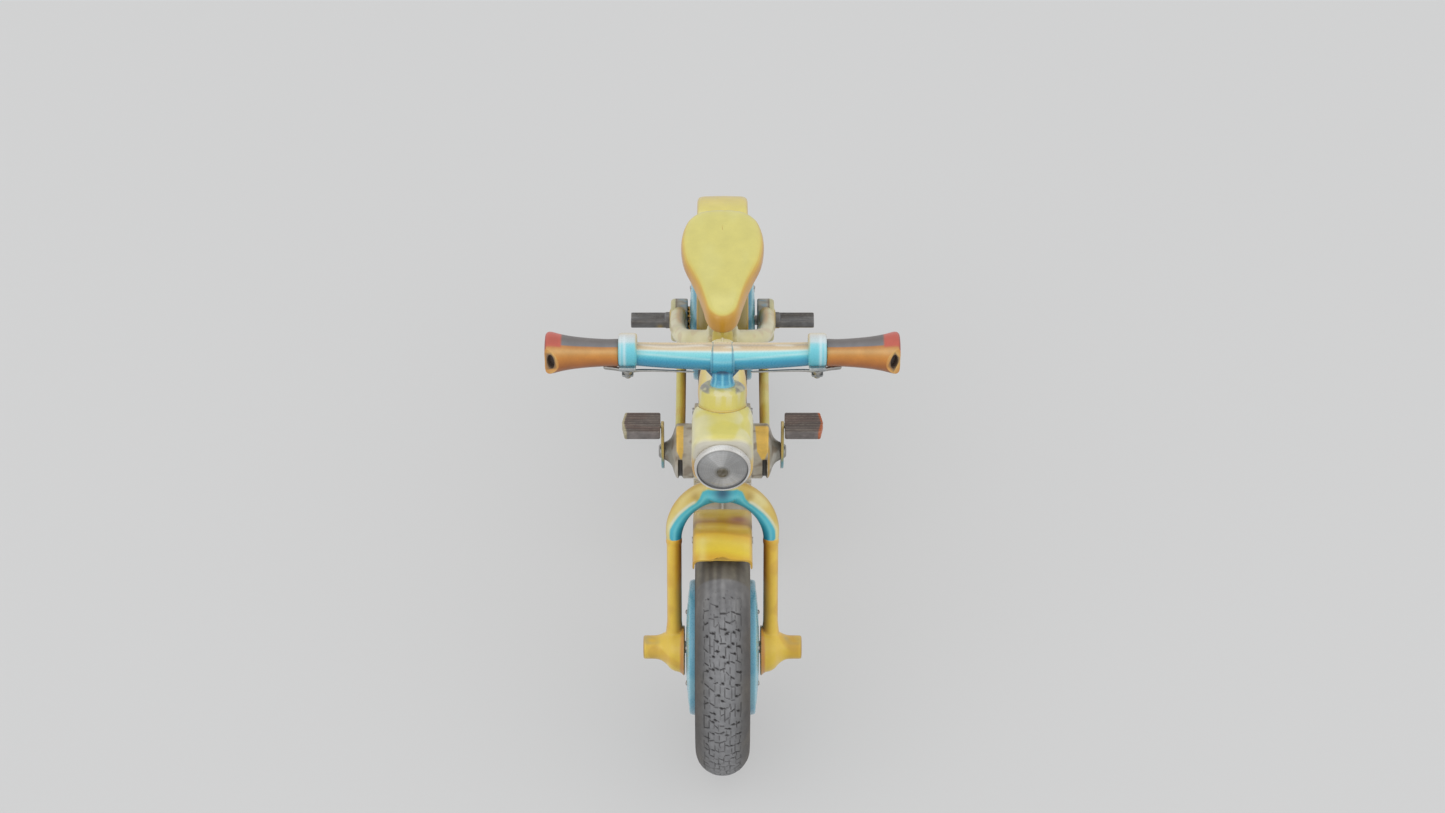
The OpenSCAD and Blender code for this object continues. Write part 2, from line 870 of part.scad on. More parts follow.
module great_wheel() {
  color(BRASS) difference() {
    union() {
      x_gear(-4.0, -2.8, arbor_p, great_teeth, spur_m, 0.3, 0.6,
        toward(arbor_p, second_p) + 180 / great_teeth);
      x_rod(-5.6, -2.8, arbor_p, 2.2);
      x_rod(-3.2, -1.6, click_p, 0.45);
    }
    x_rod(-7, 0, arbor_p, arbor_r + run);
  }
}

// Ratchet with saw teeth
module winding_arbor() {
  color(STEEL) {
    x_rod(key_seat_x, 6.9, arbor_p, arbor_r);
    translate([-2.5, arbor_p[0], arbor_p[1]]) rotate([90, 0, 90]) linear_extrude(0.8)
      polygon([for (i = [0:ratchet_teeth - 1]) each [
        polar(ratchet_r, i * 360 / ratchet_teeth),
        polar(ratchet_r - ratchet_depth, i * 360 / ratchet_teeth)]]);
  }
}

// Click that drops into the ratchet teeth, pivoted on the great wheel
module click_pawl() {
  nose = [[3.78, 73], [3.6, 66.5], [4.15, 65]];
  color(STEEL) difference() {
    translate([-2.5, 0, 0]) rotate([90, 0, 90]) linear_extrude(0.8) union() {
      translate(click_p) circle(0.95);
      polygon(concat([click_p + [0.5, 0.75], click_p + [-0.4, -0.45]],
        [for (p = nose) arbor_p + polar(p[0], p[1])]));
    }
    x_rod(-4, 0, click_p, 0.5);
  }
}

// Two-lobed key on the left end of the arbor, its bow in a sloping plane
module winding_key() {
  color(STEEL) translate([0, arbor_p[0], arbor_p[1]]) rotate([-40, 0, 0]) {
    difference() {
      union() {
        x_rod(-10.2, -8.6, [0, 0], 1.7);
        translate([-10.4, -1.3, -0.45]) cube([1.4, 2.6, 0.9]);
        for (s = [-1, 1]) translate([-12, s * 3.6, -0.45]) cylinder(h = 0.9, r = key_lobe_r);
        translate([-14.2, -2, -0.45]) cube([4.4, 4, 0.9]);
      }
      for (s = [-1, 1]) translate([-12, s * 3.8, -1]) cylinder(h = 2, r = key_lobe_r / 2);
      x_rod(key_seat_x, -8, [0, 0], arbor_r);
    }
  }
}

// ---------- cranks and pedals ----------

module crank_spindle() {
  color(STEEL) x_rod(-16.45, 16.45, crank_p, spindle_r);
}

module crank_plate() {
  difference() {
    union() {
      translate([plate_x0, crank_p[0], crank_p[1]]) rotate([90, 0, 90])
        linear_extrude(plate_x1 - plate_x0)
          polygon([[0, -6.4], [2.2, -3.6], [2.6, 0], [1.6, 8.8], [0.9, 10], [-0.9, 10],
            [-1.6, 8.8], [-2.6, 0], [-2.2, -3.6]]);
      x_rod(plate_x1 - 0.1, 26.2, crank_p + [0, pedal_up], 0.7);
    }
    x_rod(15, 17, crank_p, spindle_r);
  }
}

module crank_plates() {
  color(ENGINE) both_sides() crank_plate();
}

// Flat ribbed pedal, drawn on the right-hand side
module pedal() {
  difference() {
    translate([16.6, crank_p[0] - 4.3, crank_p[1] + pedal_up - 1.3]) cube([10.2, 8.6, 2.6]);
    x_rod(16, 26.3, crank_p + [0, pedal_up], 0.75);
    for (x = [18:1.4:25.6], s = [-1, 1])
      translate([x, crank_p[0] - 5, crank_p[1] + pedal_up + s * 1.45 - 0.4])
        cube([0.6, 10, 0.8]);
  }
}

module pedal_left() {
  color(DARK) mirror([1, 0, 0]) pedal();
}

module pedal_right() {
  color(DARK) pedal();
}

// Bent wire stand that swings in the lug under the engine
module prop_stand() {
  color(STEEL) {
    x_rod(-2.6, 2.6, stand_p, wire_r);
    both_sides() {
      translate([2.6, stand_p[0], stand_p[1]]) sphere(wire_r + 0.08);
      rod([2.6, stand_p[0], stand_p[1]], stand_foot + [0, 0.3, 0.9], wire_r);
      translate(stand_foot) cylinder(h = 0.8, r = 1.2);
    }
  }
}

head_tube();
backbone_tube();
down_tube();
seat_post();
stay_yoke();
chain_stay_left();
chain_stay_right();
rear_housing_left();
rear_housing_right();
rear_axle();
rear_pegs();
rear_fender();
saddle_pan();
saddle_shell();
tank_left();
tank_right();
engine_case_left();
engine_case_right();
hub_cover_left();
hub_cover_right();
motor_plates();
pillar_bolts();
mainspring();
fork_leg_left();
fork_leg_right();
fork_arch();
steerer_tube();
front_axle();
nacelle();
lamp_bezel();
lamp_lens();
lamp_reflector();
head_cap();
bar_stem();
handlebar();
bar_clamps();
grip_left();
grip_right();
front_fender();
front_tyre();
front_rim();
front_discs();
rear_tyre();
rear_rim();
rear_discs();
wheel_gear();
drive_shaft();
output_gear();
second_gear();
great_wheel();
winding_arbor();
winding_key();
click_pawl();
crank_spindle();
crank_plates();
pedal_left();
pedal_right();
brake_lever_left();
brake_lever_right();
prop_stand();
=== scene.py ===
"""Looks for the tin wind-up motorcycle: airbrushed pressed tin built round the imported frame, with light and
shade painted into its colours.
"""

import json
import math

import bmesh
import bpy
import numpy as np
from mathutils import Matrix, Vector


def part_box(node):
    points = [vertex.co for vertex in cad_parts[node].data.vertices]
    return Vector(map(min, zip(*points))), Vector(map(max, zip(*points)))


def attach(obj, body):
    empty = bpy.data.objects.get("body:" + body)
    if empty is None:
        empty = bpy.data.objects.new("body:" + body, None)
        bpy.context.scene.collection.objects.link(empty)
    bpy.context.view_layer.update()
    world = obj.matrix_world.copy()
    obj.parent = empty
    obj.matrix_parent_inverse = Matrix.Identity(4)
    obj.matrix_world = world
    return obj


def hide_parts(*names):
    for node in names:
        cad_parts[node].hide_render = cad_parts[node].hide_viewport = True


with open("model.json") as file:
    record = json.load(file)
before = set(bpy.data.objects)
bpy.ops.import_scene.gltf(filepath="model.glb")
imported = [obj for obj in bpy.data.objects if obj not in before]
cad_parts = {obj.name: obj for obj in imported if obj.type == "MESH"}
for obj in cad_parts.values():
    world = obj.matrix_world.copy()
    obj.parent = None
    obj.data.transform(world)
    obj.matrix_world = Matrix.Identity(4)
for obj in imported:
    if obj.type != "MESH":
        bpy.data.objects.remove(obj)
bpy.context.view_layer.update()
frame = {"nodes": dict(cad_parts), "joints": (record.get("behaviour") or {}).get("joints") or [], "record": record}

MM = 0.001
X, Y, Z = np.eye(3)


# ---------- places, in millimetres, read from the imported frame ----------

def box_mm(node):
    low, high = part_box(node)
    return np.array(low) / MM, np.array(high) / MM


def middle(node):
    low, high = box_mm(node)
    return (low + high) / 2


def joint(name):
    return next(j for j in frame["joints"] if j["name"] == name)


RECORD = frame["record"]
BODY_OF = {n: b for b, ns in RECORD["behaviour"]["bodies"].items() for n in ns}
SLOT_OF = {s["node"]: s["material_slot"] for s in RECORD["subparts"]}
SIDES = {"left": -1, "right": 1}

FRONT, REAR = middle("front_tyre"), middle("rear_tyre")
WHEEL_R = REAR[2]
TYRE_R = box_mm("front_tyre")[1][0]
CRANK = middle("crank_spindle")
CRANK_MID, REAR_MID = CRANK * (0, 1, 1), REAR * (0, 1, 1)
BAR = middle("handlebar")
STEER_UP = np.array(joint("steer")["axis"], float)
STEER_BACK = np.cross(STEER_UP, X)


def on_steer(x, back, up):
    """A point in the steering frame: up runs along the steering axis from the front axle."""
    return FRONT + x * X + back * STEER_BACK + up * STEER_UP


# ---------- forms: (points in millimetres, faces) ----------

def soften(points, radius, closed=False, steps=5):
    """Rounds every corner of an outline with a short curve."""
    points = [np.array(p, float) for p in points]
    count = len(points)
    out = []
    for i, p in enumerate(points):
        if not closed and i in (0, count - 1):
            out.append(p)
            continue
        a, b = points[i - 1] - p, points[(i + 1) % count] - p
        reach_a = min(radius, np.linalg.norm(a) * 0.48)
        reach_b = min(radius, np.linalg.norm(b) * 0.48)
        a = p + a / max(np.linalg.norm(a), 1e-9) * reach_a
        b = p + b / max(np.linalg.norm(b), 1e-9) * reach_b
        for t in np.linspace(0, 1, steps):
            out.append((1 - t) ** 2 * a + 2 * t * (1 - t) * p + t * t * b)
    return np.array(out)


def circle(count):
    """Evenly parted angles once round."""
    return np.linspace(0, 2 * math.pi, count, endpoint=False)


def resample(points, step, closed=True):
    """An outline with extra points, so that no part of it is longer than step."""
    points = np.array(points, float)
    ends = np.roll(points, -1, 0) if closed else points[1:]
    out = []
    for a, b in zip(points, ends):
        count = max(1, math.ceil(np.linalg.norm(b - a) / step))
        out += [a + (b - a) * k / count for k in range(count)]
    if not closed:
        out.append(points[-1])
    return np.array(out)


def evenly(points, count, closed=False):
    """Points evenly parted along a line."""
    run = np.concatenate([[0], np.cumsum(np.linalg.norm(np.diff(points, axis=0), axis=1))])
    at = np.linspace(0, run[-1], count + 1 if closed else count)
    out = np.stack([np.interp(at, run, points[:, k]) for k in range(points.shape[1])], 1)
    return out[:-1] if closed else out


def spline(points, count, closed=False):
    """Smooth curve through the points (Catmull-Rom), as evenly parted points."""
    p = np.array(points, float)
    n = len(p)
    ends = (p[-1], p[0], p[1]) if closed else (2 * p[0] - p[1], 2 * p[-1] - p[-2])
    p = np.vstack([ends[0], p, *ends[1:]])
    spans = n if closed else n - 1
    t = np.linspace(0, spans, 40 * spans + 1)
    i = np.minimum(t.astype(int), spans - 1)
    f = (t - i)[:, None]
    a, b, c, d = p[i], p[i + 1], p[i + 2], p[i + 3]
    curve = 0.5 * (2 * b + (c - a) * f + (2 * a - 5 * b + 4 * c - d) * f ** 2
                   + (3 * b - a - 3 * c + d) * f ** 3)
    return evenly(curve, count, closed)


def skin(rings, caps=True, closed=False):
    """Faces over a stack of rings that have the same number of points."""
    rings = np.asarray(rings, float)
    count, around = rings.shape[:2]
    faces = []
    for i in range(count if closed else count - 1):
        a, b = i * around, (i + 1) % count * around
        faces += [(a + j, a + (j + 1) % around, b + (j + 1) % around, b + j) for j in range(around)]
    if caps and not closed:
        faces += [tuple(range(around)), tuple(range((count - 1) * around, count * around))]
    return rings.reshape(-1, 3), faces


def join(*forms):
    points, faces, first = [], [], 0
    for p, f in forms:
        points.append(p)
        faces += [tuple(i + first for i in face) for face in f]
        first += len(p)
    return np.vstack(points), faces


def across(axis):
    """Two directions square to an axis."""
    side = np.cross(axis, X) if abs(axis[0]) < 0.9 else Y
    side = side / np.linalg.norm(side)
    return side, np.cross(axis, side)


def lathe(profile, origin, axis, turns=96, closed=False):
    """Turned form. The profile is (radius, place along the axis); closed makes a hollow ring of it."""
    axis = np.array(axis, float)
    side, up = across(axis)
    angles = circle(turns)
    wheel = np.cos(angles)[:, None] * side + np.sin(angles)[:, None] * up
    profile = [(max(r, 0.01), a) for r, a in profile]
    return skin([origin + a * axis + r * wheel for r, a in profile], True, closed)


def tube(path, radius, sides=32, squash=1.0, tips=False):
    """Round bar along a path. The radius may change along it, and tips rounds its ends."""
    path = np.array(path, float)
    radius = np.broadcast_to(np.array(radius, float), len(path)).copy()
    if tips:
        lead, tail = path[0] - path[1], path[-1] - path[-2]
        lead, tail = lead / np.linalg.norm(lead), tail / np.linalg.norm(tail)
        bend = np.linspace(0, math.pi / 2 * 0.98, 6)
        head = [path[0] + lead * radius[0] * math.sin(b) for b in bend[:0:-1]]
        end = [path[-1] + tail * radius[-1] * math.sin(b) for b in bend[1:]]
        radius = np.concatenate([radius[0] * np.cos(bend[:0:-1]), radius,
                                 radius[-1] * np.cos(bend[1:])])
        path = np.vstack([head, path, end])
    ahead = np.gradient(path, axis=0)
    ahead /= np.linalg.norm(ahead, axis=1)[:, None]
    side = across(ahead[0])[0]
    angles = circle(sides)
    rings = []
    for p, d, r in zip(path, ahead, radius):
        side = side - d * (side @ d)
        side /= np.linalg.norm(side)
        up = np.cross(d, side)
        rings.append(p + r * (np.cos(angles)[:, None] * side + squash * np.sin(angles)[:, None] * up))
    return skin(rings)


def prism(outline, x0, x1, edge=0.25):
    """Plate lying square to X, from x0 to x1, with its rims softened. The outline is (y, z)."""
    outline = np.array(outline, float)
    heart = outline.mean(0)
    reach = np.linalg.norm(outline - heart, axis=1).max()
    rings = []
    for x, inset in ((x0, edge), (x0 + edge * 0.3, edge * 0.3), (x0 + edge, 0),
                     (x1 - edge, 0), (x1 - edge * 0.3, edge * 0.3), (x1, edge)):
        ring = heart + (outline - heart) * (1 - inset / reach)
        rings.append(np.column_stack([np.full(len(ring), x), ring]))
    return skin(rings)


def block(low, high, edge=0.4):
    """Box with softened edges."""
    low, high = np.array(low, float), np.array(high, float)
    outline = soften([(low[1], low[2]), (high[1], low[2]), (high[1], high[2]), (low[1], high[2])],
                     edge, True)
    return prism(outline, low[0], high[0], edge)


def hull_outline(circles, count):
    """Evenly parted points round the convex hull of some circles (y, z, radius)."""
    p = sorted((y + r * math.cos(a), z + r * math.sin(a)) for y, z, r in circles for a in circle(72))

    def chain(points):
        """One side of the hull, from the first point to the last."""
        out = []
        for q in points:
            while len(out) > 1 and ((out[-1][0] - out[-2][0]) * (q[1] - out[-2][1])
                                    - (out[-1][1] - out[-2][1]) * (q[0] - out[-2][0])) <= 0:
                out.pop()
            out.append(q)
        return out[:-1]
    hull = chain(p) + chain(p[::-1])
    return evenly(np.array(hull + hull[:1]), count, True)


def mirrored(form):
    points, faces = form
    return points * (-1, 1, 1), [face[::-1] for face in faces]


def both(form):
    """A form with its mirror twin."""
    return join(form, mirrored(form))


def on_side(form, side):
    return form if side > 0 else mirrored(form)


# ---------- paint: colours, with painted light and shade, by place on the resting object ---

def linear(colour):
    c = np.asarray(colour, float) / 255
    return np.where(c <= 0.04045, c / 12.92, ((c + 0.055) / 1.055) ** 2.4)


def ease(value, low, high):
    t = np.clip((value - low) / (high - low), 0, 1)
    return t * t * (3 - 2 * t)


def mix(a, b, t):
    a, b, t = np.asarray(a, float), np.asarray(b, float), np.asarray(t, float)
    return a + (b - a) * t[..., None]


def ramp(value, *stops):
    """Colour ramp: the stops are (value, colour)."""
    at = [s[0] for s in stops]
    return np.stack([np.interp(value, at, [s[1][k] for s in stops]) for k in range(3)], -1)


def clouded(a, b, size, seed):
    """Paint that drifts between two colours."""
    return lambda s: mix(a, b, s.cloud(size, seed))


def bell(value, at, width):
    """1 at a value, falling to 0 on both sides of it."""
    return np.exp(-((value - at) / width) ** 2)


class Spots:
    """The points that a piece's paint is laid on, in millimetres, and which way they face."""

    def __init__(self, points, normals):
        self.points, self.normals = points, normals
        self.x, self.y, self.z = points.T
        self.far = np.abs(self.x)
        self.up = normals[:, 2]
        self.outward = normals[:, 0] * np.sign(self.x)

    @property
    def facing(self):
        """Degrees round the X axis: -90 down, 0 front, 90 up, 180 back."""
        turn = np.degrees(np.arctan2(self.up, -self.normals[:, 1])) % 360
        return np.where(turn > 250, turn - 360, turn)

    def round(self, centre):
        """Distance from a cross axle, and degrees round it: 0 straight down, 90 to the rear."""
        y, z = self.y - centre[1], self.z - centre[2]
        return np.hypot(y, z), np.degrees(np.arctan2(y, -z)) % 360

    def cloud(self, size, seed=0, stretch=(1, 1, 1)):
        """Soft blotches about size millimetres across, from 0 to 1."""
        rng = np.random.RandomState(seed)
        total = np.zeros(len(self.points))
        for _ in range(9):
            direction = rng.normal(size=3)
            direction /= np.linalg.norm(direction)
            wave = size * (0.6 + rng.rand())
            run = (self.points * stretch) @ direction
            total += np.sin(run * 2 * math.pi / wave + rng.rand() * 6.28) / 9 ** 0.5
        return np.clip(0.5 + total * 0.5, 0, 1)

    def spotted(self, tone, colour, share, size, seed, low, high):
        """A tone with blotches of another colour."""
        return mix(tone, colour, share * ease(self.cloud(size, seed), low, high))


# ---------- making a piece ----------

def settle(obj):
    """Applies the modifiers that a piece holds."""
    graph = bpy.context.evaluated_depsgraph_get()
    mesh = bpy.data.meshes.new_from_object(obj.evaluated_get(graph))
    obj.modifiers.clear()
    obj.data = mesh


def arrays(mesh):
    points = np.empty(len(mesh.vertices) * 3, np.float32)
    mesh.vertices.foreach_get("co", points)
    normals = np.empty(len(mesh.vertices) * 3, np.float32)
    mesh.vertex_normals.foreach_get("vector", normals)
    return points.reshape(-1, 3).astype(float) / MM, normals.reshape(-1, 3).astype(float)


def bend_of(mesh, points, normals):
    """Mean bend at each point in 1/mm: above 0 on outer edges, below 0 in creases."""
    ends = np.empty(len(mesh.edges) * 2, np.int32)
    mesh.edges.foreach_get("vertices", ends)
    a, b = ends.reshape(-1, 2).T
    gap = points[b] - points[a]
    size = np.maximum((gap ** 2).sum(1), 1e-6)
    total, count = np.zeros(len(points)), np.zeros(len(points))
    for here, toward in ((a, gap), (b, -gap)):
        np.add.at(total, here, -2 * (normals[here] * toward).sum(1) / size)
        np.add.at(count, here, 1)
    return total / np.maximum(count, 1)


def write(mesh, name, values):
    kind = "FLOAT_COLOR" if values.ndim == 2 else "FLOAT"
    attribute = mesh.attributes.new(name, kind, "POINT")
    if values.ndim == 2:
        values = np.column_stack([values, np.ones(len(values))])
        attribute.data.foreach_set("color", values.astype(np.float32).ravel())
    else:
        attribute.data.foreach_set("value", values.astype(np.float32))


def new_object(name, form):
    """An object made of a form, with its faces turned outwards."""
    points, faces = form
    mesh = bpy.data.meshes.new(name)
    mesh.from_pydata([tuple(p) for p in points * MM], [], faces)
    sheet = bmesh.new()
    sheet.from_mesh(mesh)
    bmesh.ops.recalc_face_normals(sheet, faces=sheet.faces)
    sheet.to_mesh(mesh)
    sheet.free()
    obj = bpy.data.objects.new(name, mesh)
    bpy.context.scene.collection.objects.link(obj)
    return obj


def cut(obj, form):
    """Cuts a form out of an object."""
    cutter = new_object("cutter", form)
    knife = obj.modifiers.new("cut", "BOOLEAN")
    knife.operation = "DIFFERENCE"
    knife.solver = "EXACT"
    knife.object = cutter
    settle(obj)
    bpy.data.objects.remove(cutter)


def piece(name, form, material, node, paint=None, extra=False, crease=38, weld=None, relax=0,
          divide=0, cuts=()):
    """One piece of the looks, in place of its CAD node unless it is extra to it. It rides on the
    node's body. weld fuses its forms with voxels of that size in millimetres, relax smooths them,
    cuts are taken out of them, and paint(spots) gives the colours."""
    obj = new_object(name, form)
    if weld:
        fuse = obj.modifiers.new("weld", "REMESH")
        fuse.mode = "VOXEL"
        fuse.voxel_size = weld * MM
    if relax:
        smooth = obj.modifiers.new("relax", "SMOOTH")
        smooth.factor = 0.5
        smooth.iterations = relax
    if divide:
        split = obj.modifiers.new("divide", "SUBSURF")
        split.levels = split.render_levels = divide
    if obj.modifiers:
        settle(obj)
    obj.data.polygons.foreach_set("use_smooth", [True] * len(obj.data.polygons))
    obj.data.materials.append(material)
    for hole in cuts:
        cut(obj, hole)
    mesh = obj.data
    points, normals = arrays(mesh)
    bend = bend_of(mesh, points, normals)
    write(mesh, "edge", ease(bend, 0.7, 3.0))
    write(mesh, "hollow", ease(-bend, 0.25, 2.0))
    if paint is not None:
        write(mesh, "paint", linear(np.clip(paint(Spots(points, normals)), 0, 255)))
    if crease < 180:
        mesh.set_sharp_from_angle(angle=math.radians(crease))
    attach(obj, BODY_OF[node])
    if not extra:
        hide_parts(node)
    return obj


# ---------- materials ----------

class Graph:
    """Short hand for building one material's nodes."""

    def __init__(self, name):
        self.material = bpy.data.materials.new(name)
        self.material.use_nodes = True
        self.tree = self.material.node_tree
        self.tree.nodes.clear()
        self.shader = self.add("ShaderNodeBsdfPrincipled")
        output = self.add("ShaderNodeOutputMaterial")
        self.tree.links.new(self.shader.outputs[0], output.inputs[0])
        self.place = self.add("ShaderNodeTexCoord").outputs["Object"]

    def add(self, kind, **settings):
        node = self.tree.nodes.new(kind)
        for key, value in settings.items():
            setattr(node, key, value)
        return node

    def feed(self, socket, value):
        if isinstance(value, bpy.types.NodeSocket):
            self.tree.links.new(value, socket)
        else:
            socket.default_value = value

    def noise(self, size_mm, detail=3.0, stretch=(1, 1, 1)):
        """Noise from 0 to 1, its grains about size_mm across."""
        mapping = self.add("ShaderNodeMapping")
        self.feed(mapping.inputs["Vector"], self.place)
        mapping.inputs["Scale"].default_value = stretch
        node = self.add("ShaderNodeTexNoise")
        self.feed(node.inputs["Vector"], mapping.outputs[0])
        node.inputs["Scale"].default_value = 1 / (size_mm * MM)
        node.inputs["Detail"].default_value = detail
        return node.outputs[0]

    def remap(self, value, low, high, to_low, to_high):
        node = self.add("ShaderNodeMapRange")
        for key, number in (("Value", value), ("From Min", low), ("From Max", high),
                            ("To Min", to_low), ("To Max", to_high)):
            self.feed(node.inputs[key], number)
        return node.outputs[0]

    def math(self, kind, a, b):
        node = self.add("ShaderNodeMath", operation=kind, use_clamp=True)
        self.feed(node.inputs[0], a)
        self.feed(node.inputs[1], b)
        return node.outputs[0]

    def blend(self, factor, a, b, kind="MIX"):
        node = self.add("ShaderNodeMix", data_type="RGBA", blend_type=kind)
        self.feed(node.inputs["Factor"], factor)
        self.feed(node.inputs["A"], a)
        self.feed(node.inputs["B"], b)
        return node.outputs["Result"]

    def attribute(self, name, output="Fac"):
        return self.add("ShaderNodeAttribute", attribute_name=name).outputs[output]


def rgba(colour):
    return (*linear(colour), 1.0)


def surface(name, colour=None, metallic=0.0, rough=(0.28, 0.42), coat=0.0, mottle=0.1,
            mottle_mm=5.0, grain=0.25, grain_mm=0.35, stretch=(1, 1, 1), worn=None,
            wear=0.5, dirt_and_shade=(60, 50, 38), grime_and_shade=0.35, specular=0.5):
    """Base for every material: painted or plain colour with mottling, worn outer edges, grime and
    painted shade in the creases, and a fine grain in the roughness and the bump."""
    g = Graph(name)
    base = g.attribute("paint", "Color") if colour is None else rgba(colour)
    blotch = g.noise(mottle_mm, 4.0)
    speck = g.noise(grain_mm, 3.0, stretch)
    shade = g.remap(blotch, 0.3, 0.7, 1 - mottle, 1 + mottle * 0.4)
    tone = g.blend(1.0, base, shade, "MULTIPLY")
    streak = g.remap(speck, 0.25, 0.75, 1 - mottle * 0.7, 1.0)
    tone = g.blend(1.0, tone, streak, "MULTIPLY")
    patchy = g.remap(g.noise(mottle_mm * 0.35, 5.0), 0.42, 0.62, 0.0, 1.0)
    # the creases are darkened: partly grime, partly painted shade standing in for occlusion
    dirt_and_shade_mask = g.math("MULTIPLY", g.attribute("hollow"), g.remap(blotch, 0.35, 0.6, grime_and_shade * 0.4, grime_and_shade))
    tone = g.blend(dirt_and_shade_mask, tone, rgba(dirt_and_shade))
    roughness = g.remap(speck, 0.3, 0.7, *rough)
    if worn is not None:
        bared = g.math("MULTIPLY", g.attribute("edge"), g.math("MULTIPLY", patchy, wear))
        tone = g.blend(bared, tone, rgba(worn))
        roughness = g.math("ADD", roughness, g.math("MULTIPLY", bared, 0.25))
    g.feed(g.shader.inputs["Base Color"], tone)
    g.feed(g.shader.inputs["Roughness"], roughness)
    g.shader.inputs["Metallic"].default_value = metallic
    g.shader.inputs["Coat Weight"].default_value = coat
    g.shader.inputs["Coat Roughness"].default_value = 0.12
    g.shader.inputs["Specular IOR Level"].default_value = specular
    bump = g.add("ShaderNodeBump")
    bump.inputs["Strength"].default_value = grain
    bump.inputs["Distance"].default_value = 0.1 * MM
    height = g.math("ADD", g.math("MULTIPLY", speck, 0.6), g.math("MULTIPLY", blotch, 0.4))
    g.feed(bump.inputs["Height"], height)
    g.feed(g.shader.inputs["Normal"], bump.outputs[0])
    return g.material


# the enamel takes its colours from each piece's paint, which holds painted light and shade as well as the paint's
# own tones
ENAMEL = surface("enamel_with_painted_light", coat=0.35, worn=(186, 178, 160), wear=0.45, mottle=0.07)
BLUE_ENAMEL = surface("blue_enamel", coat=0.5, rough=(0.22, 0.36), worn=(176, 178, 168), wear=0.2,
                      mottle=0.06, mottle_mm=5.0)
LACQUER = surface("engine_lacquer", metallic=0.2, rough=(0.34, 0.55), worn=(206, 200, 188),
                  wear=0.6, mottle=0.16, mottle_mm=2.6, grain=0.4, stretch=(0.4, 1, 1))
STEEL = surface("rolled_steel", (172, 170, 166), 1.0, (0.26, 0.46), mottle=0.16, mottle_mm=4.0,
                grain=0.3, stretch=(0.15, 1, 1), worn=(224, 222, 216), wear=0.5)
PLATED = surface("plated_tin", metallic=0.75, rough=(0.22, 0.36), worn=(236, 235, 230),
                 wear=0.4, mottle=0.08, mottle_mm=3.0, grain=0.15)
BRASS = surface("stamped_brass", (190, 150, 82), 1.0, (0.28, 0.46), mottle=0.2, mottle_mm=3.0,
                grain=0.3, worn=(230, 200, 140), wear=0.6)
RUBBER = surface("tyre_rubber", rough=(0.5, 0.74), mottle=0.2, mottle_mm=1.7, grain=0.6,
                 grain_mm=0.3, worn=(150, 149, 148), wear=0.4, dirt_and_shade=(40, 36, 34), grime_and_shade=0.6)
GRIP = surface("grip_orange", coat=0.15, rough=(0.32, 0.5), mottle=0.14, mottle_mm=3.4,
               worn=(214, 160, 104), wear=0.5, grain=0.3)
TREAD_TIN = surface("ribbed_tin", metallic=0.2, rough=(0.42, 0.62), mottle=0.3, mottle_mm=2.0,
                    grain=0.5, stretch=(0.12, 1, 1), worn=(170, 160, 148), wear=0.6)
LAMP_TIN = surface("lamp_ring_tin", metallic=0.2, rough=(0.24, 0.36), coat=0.3,
                   worn=(206, 206, 204), wear=0.3, mottle=0.05, mottle_mm=3.0)
LENS = surface("lens_metal", metallic=0.55, rough=(0.3, 0.42), coat=0.3, mottle=0.1,
               mottle_mm=2.2, grain=0.2, worn=(120, 116, 110), wear=0.3)


# ---------- wheels ----------

TREAD_HALF = 5.4
SECTION_TURNS = 864


def carve(depth, along, across_mm, start, end, width, deep):
    """Cuts one rounded groove from start to end, (around, across) in mm, into a field of depths."""
    (u0, v0), (u1, v1) = start, end
    rows = np.where((along > min(u0, u1) - 3 * width) & (along < max(u0, u1) + 3 * width))[0]
    cols = np.where((across_mm > min(v0, v1) - 3 * width) & (across_mm < max(v0, v1) + 3 * width))[0]
    if not len(rows) or not len(cols):
        return
    u, v = along[rows][:, None], across_mm[cols][None, :]
    du, dv = u1 - u0, v1 - v0
    t = np.clip(((u - u0) * du + (v - v0) * dv) / max(du * du + dv * dv, 1e-6), 0, 1)
    gap = (u - u0 - t * du) ** 2 + (v - v0 - t * dv) ** 2
    patch = deep * np.exp(-gap / width ** 2)
    grid = np.ix_(rows, cols)
    depth[grid] = np.maximum(depth[grid], patch)


def tread(along, across_mm, seed):
    """Depth of the tread: short sipes between wandering lengthwise cracks, as on an old tyre."""
    rng = np.random.RandomState(seed)
    length = along[-1] + along[1]
    depth = np.zeros((len(along), len(across_mm)))
    columns = np.array([-4.9, -3.4, -2.0, -0.7, 0.7, 2.0, 3.4, 4.9])
    for k in range(len(columns) - 1):
        u = rng.rand() * 2
        while u < length:
            a = columns[k] + rng.uniform(0.0, 0.3)
            b = columns[k + 1] - rng.uniform(0.0, 0.5)
            slope = rng.uniform(-0.7, 0.7)
            carve(depth, along, across_mm, (u, a), (u + slope, b), rng.uniform(0.15, 0.24),
                  rng.uniform(0.18, 0.42))
            if rng.rand() < 0.45:
                dot = (u + slope * 0.5, rng.uniform(a, b))
                carve(depth, along, across_mm, dot, (dot[0] + 0.1, dot[1] + 0.25), 0.28, 0.55)
            u += rng.uniform(2.0, 4.2)
    for column in columns:
        u = rng.rand() * 2
        while u < length:
            run = rng.uniform(1.2, 4.2)
            v = column + rng.uniform(-0.25, 0.25)
            carve(depth, along, across_mm, (u, v), (u + run, v + rng.uniform(-0.3, 0.3)), 0.15,
                  rng.uniform(0.1, 0.26))
            u += run + rng.uniform(0.3, 2.2)
    for _ in range(260):
        u, v = rng.rand() * length, rng.uniform(-8.0, 8.0)
        carve(depth, along, across_mm, (u, v), (u + rng.uniform(4, 14), v), 0.13, 0.05)
    return depth


